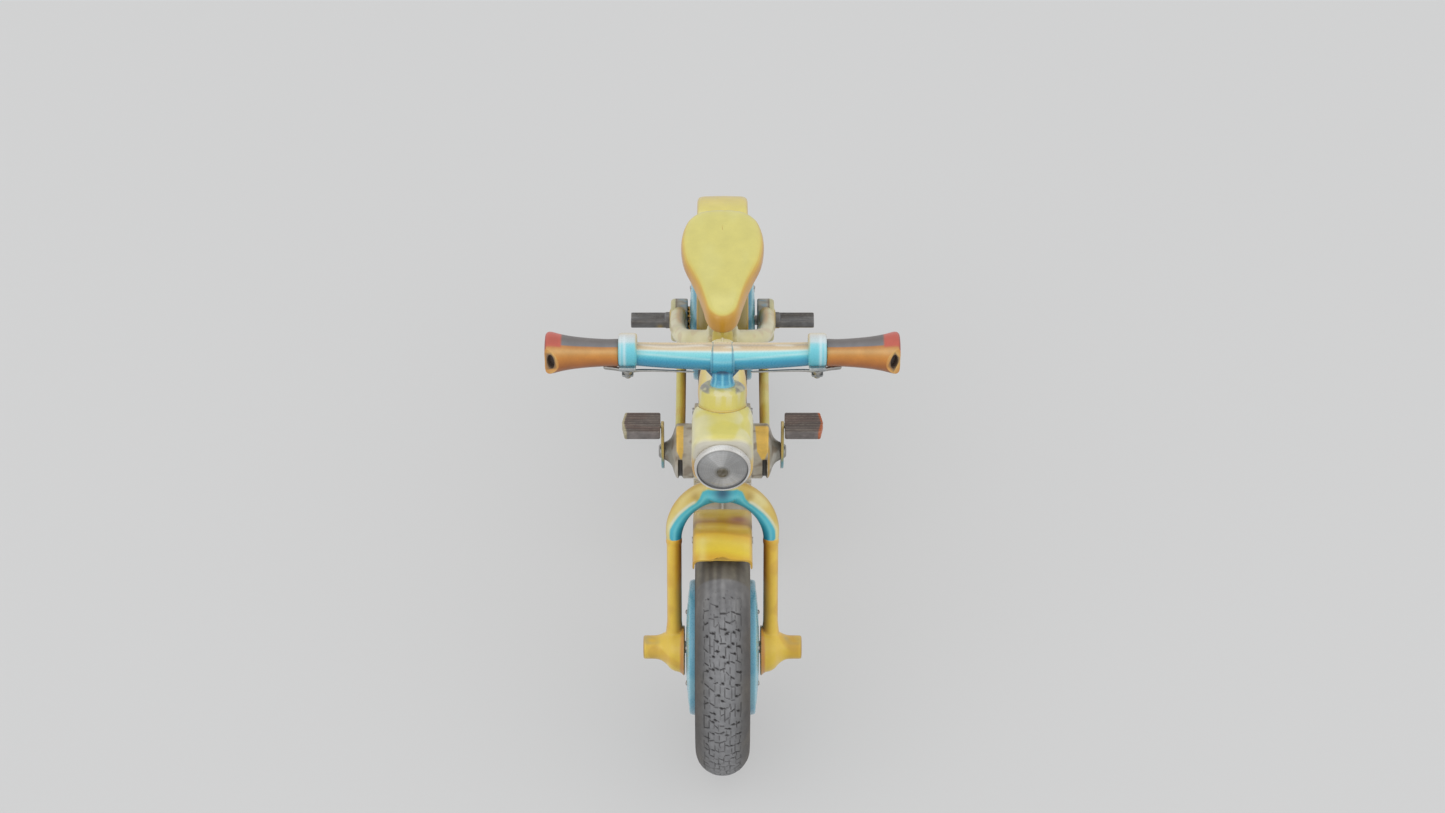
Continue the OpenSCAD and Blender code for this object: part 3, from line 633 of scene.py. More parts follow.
def tyre(name, centre, node, seed):
    """A tyre with a carved tread, which fades to a smooth patch at its top; that patch is painted darker brown as
    the mudguard's shadow.
    """
    tube_mid = WHEEL_R - TYRE_R
    seat_r = 19.65
    seat = math.acos((seat_r - tube_mid) / TYRE_R)
    crown = np.linspace(-TREAD_HALF, TREAD_HALF, 50) / TYRE_R
    shoulder = np.linspace(TREAD_HALF / TYRE_R, seat, 15)[1:]
    angle = np.concatenate([-shoulder[::-1], crown, shoulder])
    turn = circle(SECTION_TURNS)
    depth = tread(turn * WHEEL_R, angle * TYRE_R, seed)
    bare = np.degrees(turn)
    depth *= (1 - ease(-bare, -212, -196) * ease(bare, 172, 176))[:, None]
    ribs = 0.05 * np.sin(angle * TYRE_R * 2 * math.pi / 0.9) * (np.abs(angle) > 1.1)
    depth = depth + np.where(np.abs(angle) < 2.2, ribs, 0)[None, :]
    r = tube_mid + (TYRE_R - depth) * np.cos(angle)[None, :]
    x = (TYRE_R - depth) * np.sin(angle)[None, :]
    rings = np.stack([x, r * np.sin(turn)[:, None], -r * np.cos(turn)[:, None]], -1) + centre

    def paint(s):
        far = s.far / TYRE_R
        radius, turn = s.round(centre)
        flat = tube_mid + np.sqrt(np.maximum(TYRE_R ** 2 - s.x ** 2, 0))
        cut = np.where(radius > tube_mid, flat - radius, 0)
        # lighter on the crown and darker down the sidewalls: painted light from above and painted shade on the
        # sides
        tone = ramp(far, (0, (140, 140, 142)), (0.4, (132, 132, 134)), (0.68, (106, 105, 105)),
                    (0.85, (86, 83, 81)), (1.0, (76, 71, 68)))
        tone = mix(tone, (140, 124, 96), 0.22 * s.cloud(9, 4) * ease(far, 0.5, 1.0))
        streak = s.cloud(1.4, 19, (1, 0.1, 0.1))
        grain = ease(-turn, -226, -200) * ease(turn, 172, 176)
        tone = mix(tone, mix((92, 90, 90), (142, 140, 138), streak), 0.45 * grain)
        # painted shadow: the patch under and just in front of the mudguard's lip is painted dark brown
        smooth = ease(-turn, -195.5, -194) * ease(turn, 172, 176)
        tone = mix(tone, mix((88, 82, 74), (118, 112, 98), streak), 0.8 * smooth)
        # the grooves are painted near black by their depth: painted shade down in the tread
        return mix(tone, (40, 37, 38), ease(cut, 0.08, 0.38) * 0.92)
    return piece(name, skin(rings, closed=True), RUBBER, node, paint, crease=180)


def rim_beads(name, centre, node):
    profile = soften([(17.0, 3.5), (17.3, 4.5), (18.3, 4.9), (19.2, 4.3), (19.4, 3.5)], 0.5, True)
    ring = lathe(profile, centre, X, 128, True)
    return piece(name, both(ring), PLATED, node, clouded((196, 190, 176), (120, 110, 96), 6, 2),
                 extra=True)


def disc(name, centre, node, hole, side):
    """Domed tin disc with a rolled rim, a pressed groove and a raised middle."""
    outer = [(16.45, 1.4), (16.9, 1.4), (16.9, 7.2), (16.7, 8.0), (16.1, 8.3), (15.2, 8.1),
             (14.2, 8.45), (12.6, 8.65), (12.2, 8.5), (11.6, 8.5), (11.2, 8.75), (8.0, 9.0),
             (hole + 0.3, 9.12), (hole, 9.0)]
    inner = [(hole, 8.6), (8.0, 8.5), (12.0, 8.05), (15.4, 7.5), (16.45, 7.0)]
    form = lathe(resample(soften(outer + inner, 0.35, True, 4), 0.4), centre, X, 144, True)

    def paint(s):
        r = s.round(centre)[0]
        tone = ramp(r, (0, (84, 170, 196)), (11, (96, 182, 204)), (12, (62, 142, 172)),
                    (14.5, (104, 186, 206)), (16.2, (128, 196, 212)), (16.9, (92, 160, 186)))
        tone = s.spotted(tone, (170, 208, 216), 0.4, 12, 3, 0.6, 0.95)
        worn = bell(r, 16.0, 0.25) * ease(s.cloud(7, 8), 0.4, 0.7)
        tone = mix(tone, (150, 130, 100), 0.55 * worn)
        rust = ease(-r, -hole - 4.2, -hole - 1.0) * ease(s.cloud(3, 5), 0.3, 0.7)
        return mix(tone, (150, 112, 70), 0.45 * rust)
    return piece(name, on_side(form, side), BLUE_ENAMEL, node, paint, extra=side < 0)


def disc_rivets(name, centre, node, x, radius):
    """Small domed rivets round the middle of both discs."""
    forms = []
    for k in range(6):
        a = k * math.pi / 3 + 0.3
        at = centre + (x, radius * math.cos(a), radius * math.sin(a))
        dome = [(0, 0.42), (0.3, 0.38), (0.52, 0.2), (0.6, -0.1), (0.6, -0.4)]
        forms.append(lathe(dome, at, X, 20))
    form = join(*forms)
    return piece(name, both(form), STEEL, node, extra=True)


def wheels():
    tyre("front_tyre_rubber", FRONT, "front_tyre", 3)
    tyre("rear_tyre_rubber", REAR, "rear_tyre", 11)
    for place, centre, hole in (("front", FRONT, 1.9), ("rear", REAR, 4.4)):
        rim_beads(f"{place}_rim_beads", centre, f"{place}_rim")
        for word, side in SIDES.items():
            disc(f"{place}_disc_{word}", centre, f"{place}_discs", hole, side)
        disc_rivets(f"{place}_disc_rivets", centre, f"{place}_discs", 8.78, 10.2)


# ---------- fork ----------

LEG_X = 11.95
ARCH_UP = 29.0
ARCH_IN = 10.1
STUB_X = box_mm("fork_leg_right")[1][0]


def amber_paint(s):
    """Fork enamel: golden, browner towards the wheel as painted shade, paler on the outer shoulders as painted
    light.
    """
    lean = s.outward
    tone = ramp(lean, (-1, (150, 98, 42)), (-0.6, (190, 138, 48)), (-0.1, (216, 172, 50)),
                (0.4, (222, 188, 66)), (0.8, (222, 190, 92)), (1, (206, 168, 82)))
    tone = s.spotted(tone, (236, 212, 120), 0.3, 14, 6, 0.55, 0.95)
    return s.spotted(tone, (190, 138, 52), 0.3, 8, 12, 0.6, 0.95)


def leg_paint(s):
    tone = amber_paint(s) * (1.06, 1.05, 1.0)
    from_axle = s.round(FRONT)[0]
    # painted shade on the leg's inner side, towards the wheel
    inner = ease(-s.far, -10.9, -10.2) * ease(from_axle, 4.4, 5.6)
    tone = mix(tone, (186, 120, 52), 0.8 * inner)
    end = ease(s.far, STUB_X - 0.5, STUB_X - 0.1)
    tone = mix(tone, (150, 112, 60), 0.6 * end)
    top = ease(s.up, 0.75, 0.98) * ease(s.far, 14.5, 16)
    return mix(tone, (176, 160, 140), 0.55 * top * s.cloud(3, 9))


def fork_leg(word, side):
    path = [on_steer(LEG_X, 0, s) for s in np.linspace(ARCH_UP + 0.4, 1.0, 24)]
    radius = np.interp(np.linspace(ARCH_UP, 1, 24), [1, 4, 7, 29], [2.7, 2.2, 1.85, 1.85])
    boss = [(0, 9.4), (6.3, 9.4), (6.35, 9.7), (5.9, 10.1), (5.6, 10.6), (5.5, 11.3), (5.3, 12.2),
            (4.9, 13.1), (4.1, 14.0), (3.5, 14.9), (3.1, 15.8), (2.96, 16.6), (2.94, 18),
            (2.94, STUB_X - 0.25), (2.7, STUB_X), (1.6, STUB_X), (1.4, STUB_X - 0.3),
            (0, STUB_X - 0.3)]
    collar = tube([on_steer(LEG_X, 0, ARCH_UP + s) for s in (-1.0, -0.7, 0.3, 0.6)],
                  [1.86, 2.0, 2.0, 1.86])
    turn = circle(72)
    rings = []
    for r, x in resample(soften(boss, 0.4), 0.4, False)[1:-1]:
        low = FRONT - 0.9 * float(ease(np.array(r), 3.2, 6.4)) * STEER_UP
        rings.append(low + x * X + r * (np.cos(turn)[:, None] * Y + np.sin(turn)[:, None] * Z))
    form = join(tube(path, radius), collar, skin(rings))
    piece(f"fork_leg_{word}_tube", on_side(form, side), ENAMEL, f"fork_leg_{word}", leg_paint,
          weld=0.24, relax=4, crease=180)


def arch_paint(s):
    local = s.points - on_steer(0, 0, ARCH_UP)
    up, aside = local @ STEER_UP, np.abs(local[:, 0])
    radius = np.hypot(aside, up)
    angle = np.degrees(np.arctan2(up, aside))
    width = 2 * (1.85 + 1.2 * np.sin(np.radians(np.clip(angle, 0, 90))))
    share = (radius - ARCH_IN) / width
    reach = np.interp(angle, [-1.5, 0, 1.5, 4, 14, 28, 44, 58, 64, 70, 90],
                      [0.0, 0.48, 0.64, 0.74, 0.74, 0.58, 0.44, 0.38, 0.46, 0.68, 0.74])
    gold = mix((214, 186, 92), (222, 208, 140), s.cloud(9, 3))
    gold = mix(gold, (186, 146, 66), ease(share, 0.88, 1.02) * 0.6)
    # a darker olive patch on each side of the arch's top
    olive_patch = bell(angle, 61, 4) * bell(share, 0.62, 0.2)
    gold = mix(gold, (168, 140, 70), 0.55 * olive_patch)
    deep = ease(-share, -0.5, 0.05) * 0.6 + 0.3 * ease(-angle, -30, 0)
    blue = mix((74, 190, 210), (34, 132, 166), np.clip(deep, 0, 1))
    blue = mix(blue, (122, 214, 226), 0.7 * bell(share / np.maximum(reach, 0.1), 0.62, 0.16))
    blue = mix(blue, (28, 72, 104), 0.8 * bell(aside, 0, 1.9) * ease(share, 0.1, 0.6))
    gap = share - reach
    # a white painted highlight along the line where the blue meets the gold
    white = bell(gap, 0.07, 0.075) * ease(angle, 4, 24) * ease(-angle, -62, -56)
    tone = mix(blue, gold, ease(gap, -0.03, 0.06))
    tone = mix(tone, (222, 226, 212), 0.85 * white)
    rim = bell(share, -0.01, 0.05) * ease(-angle, -6, 4)
    return mix(tone, (206, 186, 122), 0.8 * rim)


def fork_arch():
    turn = np.radians(np.linspace(-2, 182, 96))
    around = circle(40)
    rings = []
    for t in turn:
        half = 1.85 + 1.2 * max(math.sin(t), 0)
        outward = X * math.cos(t) + STEER_UP * math.sin(t)
        centre = on_steer(0, 0, ARCH_UP) + (ARCH_IN + half) * outward
        rings.append(centre + np.cos(around)[:, None] * half * outward
                     + np.sin(around)[:, None] * 1.85 * STEER_BACK)
    crown = [(0, 39.9), (3.4, 39.9), (3.9, 40.6), (3.9, 44.6), (3.5, 45.1), (2.4, 45.1), (0, 45.1)]
    form = join(skin(rings), lathe(soften(crown, 0.4), FRONT, STEER_UP, 64))
    piece("fork_arch_yoke", form, ENAMEL, "fork_arch", arch_paint, weld=0.26, relax=5, crease=180)


# ---------- mudguards ----------

GUARD_STOP = 188.2
GUARD_HALF = 7.28


def guard_section(half, skirt, thick):
    """Outline of a mudguard's wall, (outwards from the tyre, sideways), with rolled edges."""
    outer = [(-skirt, half), (-1.2, half), (-0.35, half - 0.45), (0, half - 1.7), (0.12, 0),
             (0, -half + 1.7), (-0.35, -half + 0.45), (-1.2, -half), (-skirt, -half)]
    inner = [(-skirt, -half + thick), (-1.4, -half + thick), (-0.8, -half + 1.1), (-0.5, -half + 2),
             (-0.4, 0), (-0.5, half - 2), (-0.8, half - 1.1), (-1.4, half - thick),
             (-skirt, half - thick)]
    return resample(soften(outer + inner, 0.7, True, 4), 0.45)


def mudguard(centre, outer_r, half, start, stop, skirt=3.2, lift=None, step=None):
    """Wall swept round an axle from start to stop degrees (0 straight down, 90 to the rear).
    lift moves a ring forward, and the crown stands a little higher past step degrees."""
    section = guard_section(half, skirt, 0.5)
    rings = []
    for a in np.radians(np.linspace(start, stop, 120)):
        out = np.array([0, math.sin(a), -math.cos(a)])
        forward = np.array([0, math.cos(a), math.sin(a)])
        turn = math.degrees(a)
        push = np.zeros(len(section)) if lift is None else lift(turn, section)
        swell = 0.0 if step is None else 0.55 * float(ease(turn, step - 9, step + 1)) - 0.25
        reach = outer_r + section[:, 0] + swell * (section[:, 0] > -1.3)
        rings.append(centre + reach[:, None] * out + section[:, 1][:, None] * X
                     + push[:, None] * forward)
    return skin(rings)


def front_guard_paint(s):
    angle = s.round(FRONT)[1]
    bow = angle + 0.5 * np.cos(s.x * 0.5 + 0.5) - 0.18 * s.x
    # from about 158 to 173 degrees the guard is painted darker brown as shade under the lamp nacelle and fork
    # arch; past the step at 174 degrees it is painted brighter, as lit
    tone = ramp(bow, (105, (206, 172, 74)), (138, (206, 172, 70)), (150, (222, 188, 72)),
                (158, (218, 174, 54)), (163, (176, 122, 26)), (165, (212, 164, 44)),
                (168, (228, 188, 60)), (171.5, (214, 170, 48)), (173, (212, 162, 46)),
                (174.5, (230, 186, 56)), (179, (234, 206, 84)), (184, (232, 204, 68)),
                (188, (216, 170, 56)))
    blush = bell(s.x, 3.9, 2.2) * bell(angle, 160, 3.4)
    tone = mix(tone, (150, 70, 42), 0.85 * blush)
    pale = bell(s.x, -4.8, 1.0) * ease(angle, 174, 178)
    tone = mix(tone, (240, 226, 150), 0.5 * pale)
    corner = ease(s.far, 6.2, 7.1)
    tone = mix(tone, (200, 150, 60), 0.5 * corner)
    # the corners of that shaded zone are painted darker still: painted shade
    dark = corner * bell(angle, 164, 3.5)
    return mix(tone, (136, 98, 46), 0.7 * dark)


def front_mudguard():
    def lip(angle, section):
        """The front edge dips at both corners and arches over the tread."""
        tail = ease(np.array(angle), 180, GUARD_STOP)
        share = np.abs(section[:, 1]) / GUARD_HALF
        return tail * (0.3 - 0.9 * bell(share, 0, 0.18))
    form = mudguard(FRONT, 34.6, GUARD_HALF, 105, GUARD_STOP, 3.2, lip, 173.5)
    strut = tube(soften([(6.9, -43.2, 56), (11.2, -43.8, 56.4), (11.8, -56.6, 60.4)], 2.0), 0.6, 16)
    piece("front_mudguard", form, ENAMEL, "front_fender", front_guard_paint, crease=60)
    piece("front_mudguard_struts", both(strut), STEEL, "front_fender", extra=True)


def rear_guard_paint(s):
    angle = s.round(REAR)[1]
    # darker olive from about 204 degrees on, the front part under the saddle: painted shade
    tone = ramp(angle, (90, (196, 158, 70)), (140, (214, 182, 78)), (168, (224, 208, 100)),
                (182, (230, 216, 120)), (192, (214, 196, 96)), (204, (190, 168, 88)),
                (216, (164, 146, 76)), (240, (150, 132, 70)))
    # a pale streak along the crown: a painted highlight
    streak = bell(angle, 176 + 0.5 * s.x, 1.6)
    tone = mix(tone, (236, 230, 166), 0.5 * streak)
    rim = ease(s.far, 6.5, 7.0)
    return mix(tone, (206, 160, 62), 0.6 * rim)


def rear_mudguard():
    form = mudguard(REAR, 34.9, 7.05, 90, 240)
    piece("rear_mudguard", form, ENAMEL, "rear_fender", rear_guard_paint, crease=60)
    front_y = box_mm("stay_yoke")[0][1] + 6.3
    tab = block((-1.5, front_y, 58.0), (1.5, 41.4, 59.2), 0.3)
    piece("rear_mudguard_tab", tab, STEEL, "rear_fender", extra=True)


# ---------- headlamp and nacelle ----------

LAMP = middle("lamp_lens")


def squircle(half_w, half_h, power, count=96):
    t = circle(count)
    c, s = np.cos(t), np.sin(t)
    return np.column_stack([half_w * np.sign(c) * np.abs(c) ** (2 / power),
                            half_h * np.sign(s) * np.abs(s) ** (2 / power)])


def nacelle_paint(s):
    low, high = box_mm("nacelle")
    height = (s.z - low[2]) / (high[2] - low[2])
    top = ease(s.facing, 25, 60) * ease(-s.facing, -150, -120)
    tone = mix((206, 196, 150), (224, 212, 112), top)
    # whitish patches over the top: painted highlights
    patches = ease(s.cloud(6.0, 23), 0.36, 0.76)
    aside = ease(s.far, 1.5, 4.5)
    tone = mix(tone, (230, 224, 190), 0.65 * patches * top * (0.4 + 0.6 * aside))
    front = ease(-s.y, -low[1] - 1.6, -low[1] - 0.3) * ease(height, 0.35, 0.6)
    tone = mix(tone, (204, 200, 190), 0.85 * front)
    edge = ease(s.far, 6.2, 7.2) * ease(height, 0.5, 0.9)
    tone = mix(tone, (226, 220, 178), 0.6 * edge)
    lower = ease(-height, -0.62, -0.4)
    tone = mix(tone, (218, 176, 70), lower)
    crease = ease(s.cloud(7.0, 17), 0.45, 0.8)
    return mix(tone, (170, 118, 46), 0.5 * lower * crease)


def nacelle():
    low, high = box_mm("nacelle")
    mid = (low + high) / 2
    half_w, half_h = (high[0] - low[0]) / 2, (high[2] - low[2]) / 2
    depth = high[1] - low[1]
    rings = []
    steps = [(0.0, 5.0), (0.0, 2.0), (0.01, 1.3), (0.035, 0.6), (0.08, 0.15), (0.14, 0.0),
             (0.85, 0.0), (0.95, 0.15), (1.0, 0.5)]
    for t, inset in resample(steps, 0.035, False):
        if inset >= 2.5:
            continue
        ring = squircle(half_w - inset, half_h - inset, 4.4 - 1.5 * t, 160)
        below = np.clip(-ring[:, 1] / half_h, 0, 1)
        ring[:, 0] *= 1 - 0.05 * below ** 3
        above = np.clip(ring[:, 1] / half_h, 0, 1)
        height = mid[2] + ring[:, 1] - 1.3 * t * above ** 2
        rings.append(np.column_stack([ring[:, 0], np.full(len(ring), low[1] + t * (depth + 1.2)),
                                      height]))
    wall = 0.6
    inner = []
    for ring in rings[::-1]:
        centre = ring.mean(0)
        shrunk = centre + (ring - centre) * (1 - wall / half_h)
        shrunk[:, 1] = np.maximum(ring[:, 1], low[1] + wall)
        inner.append(shrunk)
    form = skin(rings + inner[:-1])
    back, floor = high[1] + 4, low[2]
    foot = prism([(-51.5, floor - 1), (back, floor - 1), (back, floor + 6.5), (-46.5, floor + 5.0)],
                 -9, 9, 0.3)
    throat = lathe([(0, 62.9), (6.05, 62.9), (6.05, 84), (0, 84)], FRONT, STEER_UP, 64)
    piece("nacelle_shell", form, ENAMEL, "nacelle", nacelle_paint, cuts=(foot, throat))


def headlamp():
    front = box_mm("lamp_bezel")[0][1]
    back = box_mm("lamp_bezel")[1][1]
    here = np.array([0, 0, LAMP[2]])
    spot = here - (0, 0, 0.9)
    bezel = soften([(6.05, front + 0.5), (6.15, front + 0.02), (6.45, front - 0.05),
                    (6.68, front + 0.25), (6.76, front + 0.8), (6.8, back), (6.3, back),
                    (6.05, front + 1.3)], 0.25, True, 4)

    def bezel_paint(s):
        tone = mix((222, 221, 218), (196, 193, 188), s.cloud(5, 4))
        tone = mix(tone, (172, 158, 134), 0.5 * ease(s.y - front, 1.1, 1.6))
        ring = np.hypot(s.x, s.z - LAMP[2])
        return mix(tone, (104, 104, 106), ease(-ring, -6.24, -6.14))
    piece("lamp_bezel_ring", lathe(resample(bezel, 0.15), here, Y, 160, True), LAMP_TIN, "lamp_bezel",
          bezel_paint)
    seat = front + 0.2
    radii = np.linspace(0.02, 6.05, 60)
    shape = np.interp(radii, [0, 3.2, 4.6, 5.6, 6.05],
                      [seat - 0.1, seat - 0.05, seat, seat + 0.16, seat + 0.3])
    shape = shape + 0.02 * np.sin(radii * 2 * math.pi / 0.55)
    profile = [*zip(radii, shape), (6.06, seat + 0.8), (0.02, seat + 0.8)]

    def lens_paint(s):
        a = np.arctan2(s.z - LAMP[2], s.x)
        r = np.hypot(s.x, s.z - LAMP[2])
        # fan paints two bright sectors and spokes paints radial streaks: painted reflections on the lens
        fan = (0.5 + 0.5 * np.cos(2 * (a - 1.9))) ** 2
        waves = ((9, 1.0), (17, 2.2), (29, 0.4), (43, 5.0))
        spokes = sum(np.sin(k * a + start) for k, start in waves) / 8
        tone = mix((160, 160, 160), (202, 202, 202), np.clip(fan + spokes * 0.5, 0, 1))
        tone = mix(tone, (150, 149, 147), 0.5 * ease(r, 5.2, 6.1))
        shade = np.hypot(s.x, s.z - spot[2])
        return mix(tone, (120, 117, 110), 0.8 * ease(-shade, -2.3, -1.2))
    piece("lamp_lens_glass", lathe(profile, here, Y, 144), LENS, "lamp_lens", lens_paint, crease=60)
    bulb = [(0, seat - 0.2), (0.5, seat - 0.26), (0.95, seat - 0.3), (1.25, seat - 0.2),
            (1.45, seat + 0.2)]
    piece("lamp_bulb_tip", lathe(bulb, spot, Y, 40), LENS, "lamp_lens",
          clouded((122, 116, 104), (92, 86, 70), 1.2, 3), extra=True, crease=180)


# ---------- steering head and handlebar ----------

CAP_LOW, CAP_TOP = 63.0, 69.75
BAR_UP = (BAR - FRONT) @ STEER_UP
CLAMP_IN, CLAMP_OUT = 20.7, 25.0
CLAMP_LIFT = 1.75
GRIP_LIFT = 0.85
LEVER_YZ = (BAR[1] - 3, BAR[2] - 2.5)
GRIP_END = box_mm("grip_right")[1][0]
# the bevel on a grip's end: its direction, its place, and its hole's half width and half height
BEVEL = np.array([0.42, -0.91, 0.0]) / math.hypot(0.42, 0.91)
BEVEL_AT = np.array([41.3, -3.75, 1.1])
HOLE = (1.0, 2.1)


def cap_paint(s):
    local = s.points - FRONT
    up, back = local @ STEER_UP, local @ STEER_BACK
    tone = ramp(up, (63, (190, 140, 58)), (64.3, (214, 178, 84)), (65.2, (222, 208, 104)),
                (68, (220, 208, 112)), (70, (214, 202, 128)))
    side = ease(np.abs(local[:, 0]), 2.9, 3.5) * ease(up, 68.6, 69.0)
    tone = mix(tone, (150, 146, 142), 0.85 * side * ease(-back, -3.2, -1.5))
    pale = ease(s.cloud(2.6, 2), 0.5, 0.8) * ease(up, 65, 66)
    return mix(tone, (226, 218, 176), 0.7 * pale)


def head():
    cap = soften([(2.3, CAP_LOW), (5.6, CAP_LOW), (5.6, 63.9), (5.85, 64.1), (5.85, 64.7), (5.6, 65.0),
                  (5.6, 68.6), (5.1, 69.3), (4.4, CAP_TOP), (2.3, CAP_TOP)], 0.3, True, 4)
    piece("head_cap_cup", lathe(cap, FRONT, STEER_UP, 96, True), ENAMEL, "head_cap", cap_paint)
    collar = soften([(2.3, 47.2), (3.2, 47.2), (3.2, 49.2), (2.95, 49.6), (2.95, 57.6), (3.2, 58),
                     (3.2, 60), (2.3, 60)], 0.2, True, 4)
    piece("head_tube_sleeve", lathe(collar, FRONT, STEER_UP, 72, True), ENAMEL, "head_tube",
          amber_paint)


def stem_paint(s):
    local = s.points - FRONT
    up = local @ STEER_UP
    around = np.arctan2(local[:, 0], -(local @ STEER_BACK))
    flutes = 0.5 + 0.5 * np.cos(around * 9)
    tone = mix((54, 150, 188), (124, 200, 220), flutes ** 3)
    tone = mix(tone, (26, 70, 108), ease(up, BAR_UP - 4.6, BAR_UP - 3.2))
    return mix(tone, (120, 196, 218), 0.7 * ease(-up, -CAP_TOP - 1.0, -CAP_TOP - 0.2))


def stem():
    ups = np.linspace(CAP_TOP, BAR_UP - 1.0, 40)
    radius = np.interp(ups, [CAP_TOP, CAP_TOP + 0.6, CAP_TOP + 1.8, BAR_UP - 4, BAR_UP - 1],
                       [3.1, 2.9, 2.6, 2.65, 3.4])
    angles = circle(108)
    flute = 1 - 0.02 * (0.5 + 0.5 * np.cos(angles * 9)) ** 2
    rings = [FRONT + s * STEER_UP + (r * flute)[:, None]
             * (np.cos(angles)[:, None] * -STEER_BACK + np.sin(angles)[:, None] * X)
             for s, r in zip(ups, radius)]
    gussets = []
    for side in (-1, 1):
        outline = [(2.3, BAR_UP - 5.6), (2.5, BAR_UP - 2.2), (4.9, BAR_UP - 2.4), (4.4, BAR_UP - 3.2)]
        pts = [on_steer(side * x, d, s) for d in (-0.55, 0.55) for x, s in outline]
        n = len(outline)
        faces = [tuple(range(n)), tuple(range(n, 2 * n))]
        faces += [(i, (i + 1) % n, n + (i + 1) % n, n + i) for i in range(n)]
        gussets.append((np.array(pts), faces))
    piece("bar_stem_post", skin(rings), BLUE_ENAMEL, "bar_stem", stem_paint)
    piece("bar_stem_gussets", join(*gussets), BLUE_ENAMEL, "bar_stem",
          lambda s: np.tile((44, 96, 130), (len(s.x), 1)), extra=True)


def bar_paint(s):
    # the bands round the bar are painted light and shade: dark blue underneath is painted shade, the pale
    # turquoise and the white line are painted highlights, and the tan band on top is a painted reflection of warm
    # light
    tone = ramp(s.facing, (-110, (30, 96, 128)), (-50, (40, 122, 158)), (8, (50, 150, 186)),
                (26, (84, 186, 206)), (38, (126, 214, 222)), (54, (150, 222, 228)),
                (60, (228, 236, 230)), (65, (220, 200, 166)), (80, (206, 180, 140)),
                (92, (178, 168, 154)), (100, (212, 188, 144)), (122, (222, 196, 148)),
                (138, (196, 150, 84)), (150, (60, 140, 170)), (250, (30, 96, 128)))
    glint = bell(s.facing, 84 - 5 * np.sin(s.x * 0.35), 7)
    tone = mix(tone, (236, 234, 226), 0.6 * glint * ease(s.cloud(9, 5), 0.45, 0.7))
    # a second thin white line: a painted highlight
    return mix(tone, (236, 240, 236), 0.45 * bell(s.facing, 22 + s.far, 5))


def bar_point(x):
    """The bar droops a little in the middle."""
    return BAR + x * X + (0, 0, -0.25 + 0.72 * (x / CLAMP_IN) ** 2)


def handlebar():
    xs = np.linspace(-CLAMP_IN - 0.4, CLAMP_IN + 0.4, 90)
    radius = 3.42 - 0.55 * (np.abs(xs) / CLAMP_IN) ** 1.3
    main = tube([bar_point(x) for x in xs], radius, 56)
    core = tube([BAR + x * X + (0, 0, 0.3) for x in (-GRIP_END + 3.4, GRIP_END - 3.4)], 1.9, 24)
    piece("handlebar_tube", main, BLUE_ENAMEL, "handlebar", bar_paint, crease=60)
    piece("handlebar_core", core, STEEL, "handlebar", extra=True)
    profile = soften([(3.2, -2.9), (3.7, -2.9), (3.85, -2.5), (3.85, 2.5), (3.7, 2.9), (3.2, 2.9)],
                     0.2, True, 3)
    sleeve = lathe(resample(profile, 0.2), BAR + (0, -0.05, -0.7), X, 96, True)

    def sleeve_paint(s):
        tone = bar_paint(s)
        pale = ease(-s.facing, -56, -48) * ease(s.facing, 2, 20)
        tone = mix(tone, (104, 190, 212), 0.6 * pale)
        return mix(tone, (36, 104, 134), 0.6 * bell(s.far, 2.45, 0.2))
    piece("handlebar_sleeve", sleeve, BLUE_ENAMEL, "handlebar", sleeve_paint, extra=True)


def clamp_paint(s):
    # as on the bar, darker underneath and greyish white on top: painted shade and painted light
    tone = ramp(s.facing, (-110, (70, 130, 150)), (-20, (92, 186, 204)), (40, (112, 204, 218)),
                (58, (140, 210, 220)), (66, (196, 216, 220)), (95, (206, 208, 206)),
                (112, (214, 206, 184)), (130, (196, 170, 122)), (170, (90, 150, 170)),
                (250, (60, 110, 130)))
    shine = bell(s.far, 23.6, 0.4) + 0.7 * bell(s.far, 24.6, 0.35)
    tone = mix(tone, (222, 232, 236), np.clip(0.7 * shine * ease(-s.facing, -110, -80), 0, 1))
    rim = ease(-s.far, -21.2, -20.7) * ease(s.facing, 20, 60)
    return mix(tone, (200, 176, 124), 0.75 * rim)


def clamps():
    profile = soften([(0, CLAMP_IN - 0.1), (3.7, CLAMP_IN - 0.1), (4.1, CLAMP_IN + 0.4),
                      (4.1, CLAMP_OUT - 0.4), (3.7, CLAMP_OUT + 0.1), (0, CLAMP_OUT + 0.1)],
                     0.5, False, 5)
    ring = lathe(resample(profile, 0.25, False), BAR + (0, 0, CLAMP_LIFT), X, 96)
    y, z = LEVER_YZ
    lug = join(block((20.9, y - 1.5, z + 1.0), (25.0, y + 2.4, z + 2.0), 0.35),
               prism(soften([(y - 1.3, z + 1.3), (y + 2.2, z + 1.3), (y + 1.8, z + 0.55),
                             (y - 0.9, z + 0.55)], 0.4, True), 21.2, 24.7, 0.4),
               prism(soften([(y - 1.0, z - 0.6), (y + 1.6, z - 0.6), (y + 1.1, z - 1.5),
                             (y - 0.5, z - 1.5)], 0.4, True), 21.5, 24.3, 0.5),
               block((20.9, y + 1.9, z - 1.0), (25.0, y + 3.0, z + 2.0), 0.35))
    screw = lathe([(0, 0.35), (0.6, 0.3), (0.85, 0.0), (0.85, -0.5), (0, -0.5)],
                  np.array([22.85, y, z - 1.5]), -Z, 24)
    piece("bar_clamp_rings", both(ring), BLUE_ENAMEL, "bar_clamps", clamp_paint)
    piece("bar_clamp_lugs", both(lug), PLATED, "bar_clamps",
          clouded((206, 212, 214), (140, 144, 146), 1.8, 6), extra=True)
    piece("bar_clamp_screws", both(screw), STEEL, "bar_clamps", extra=True)


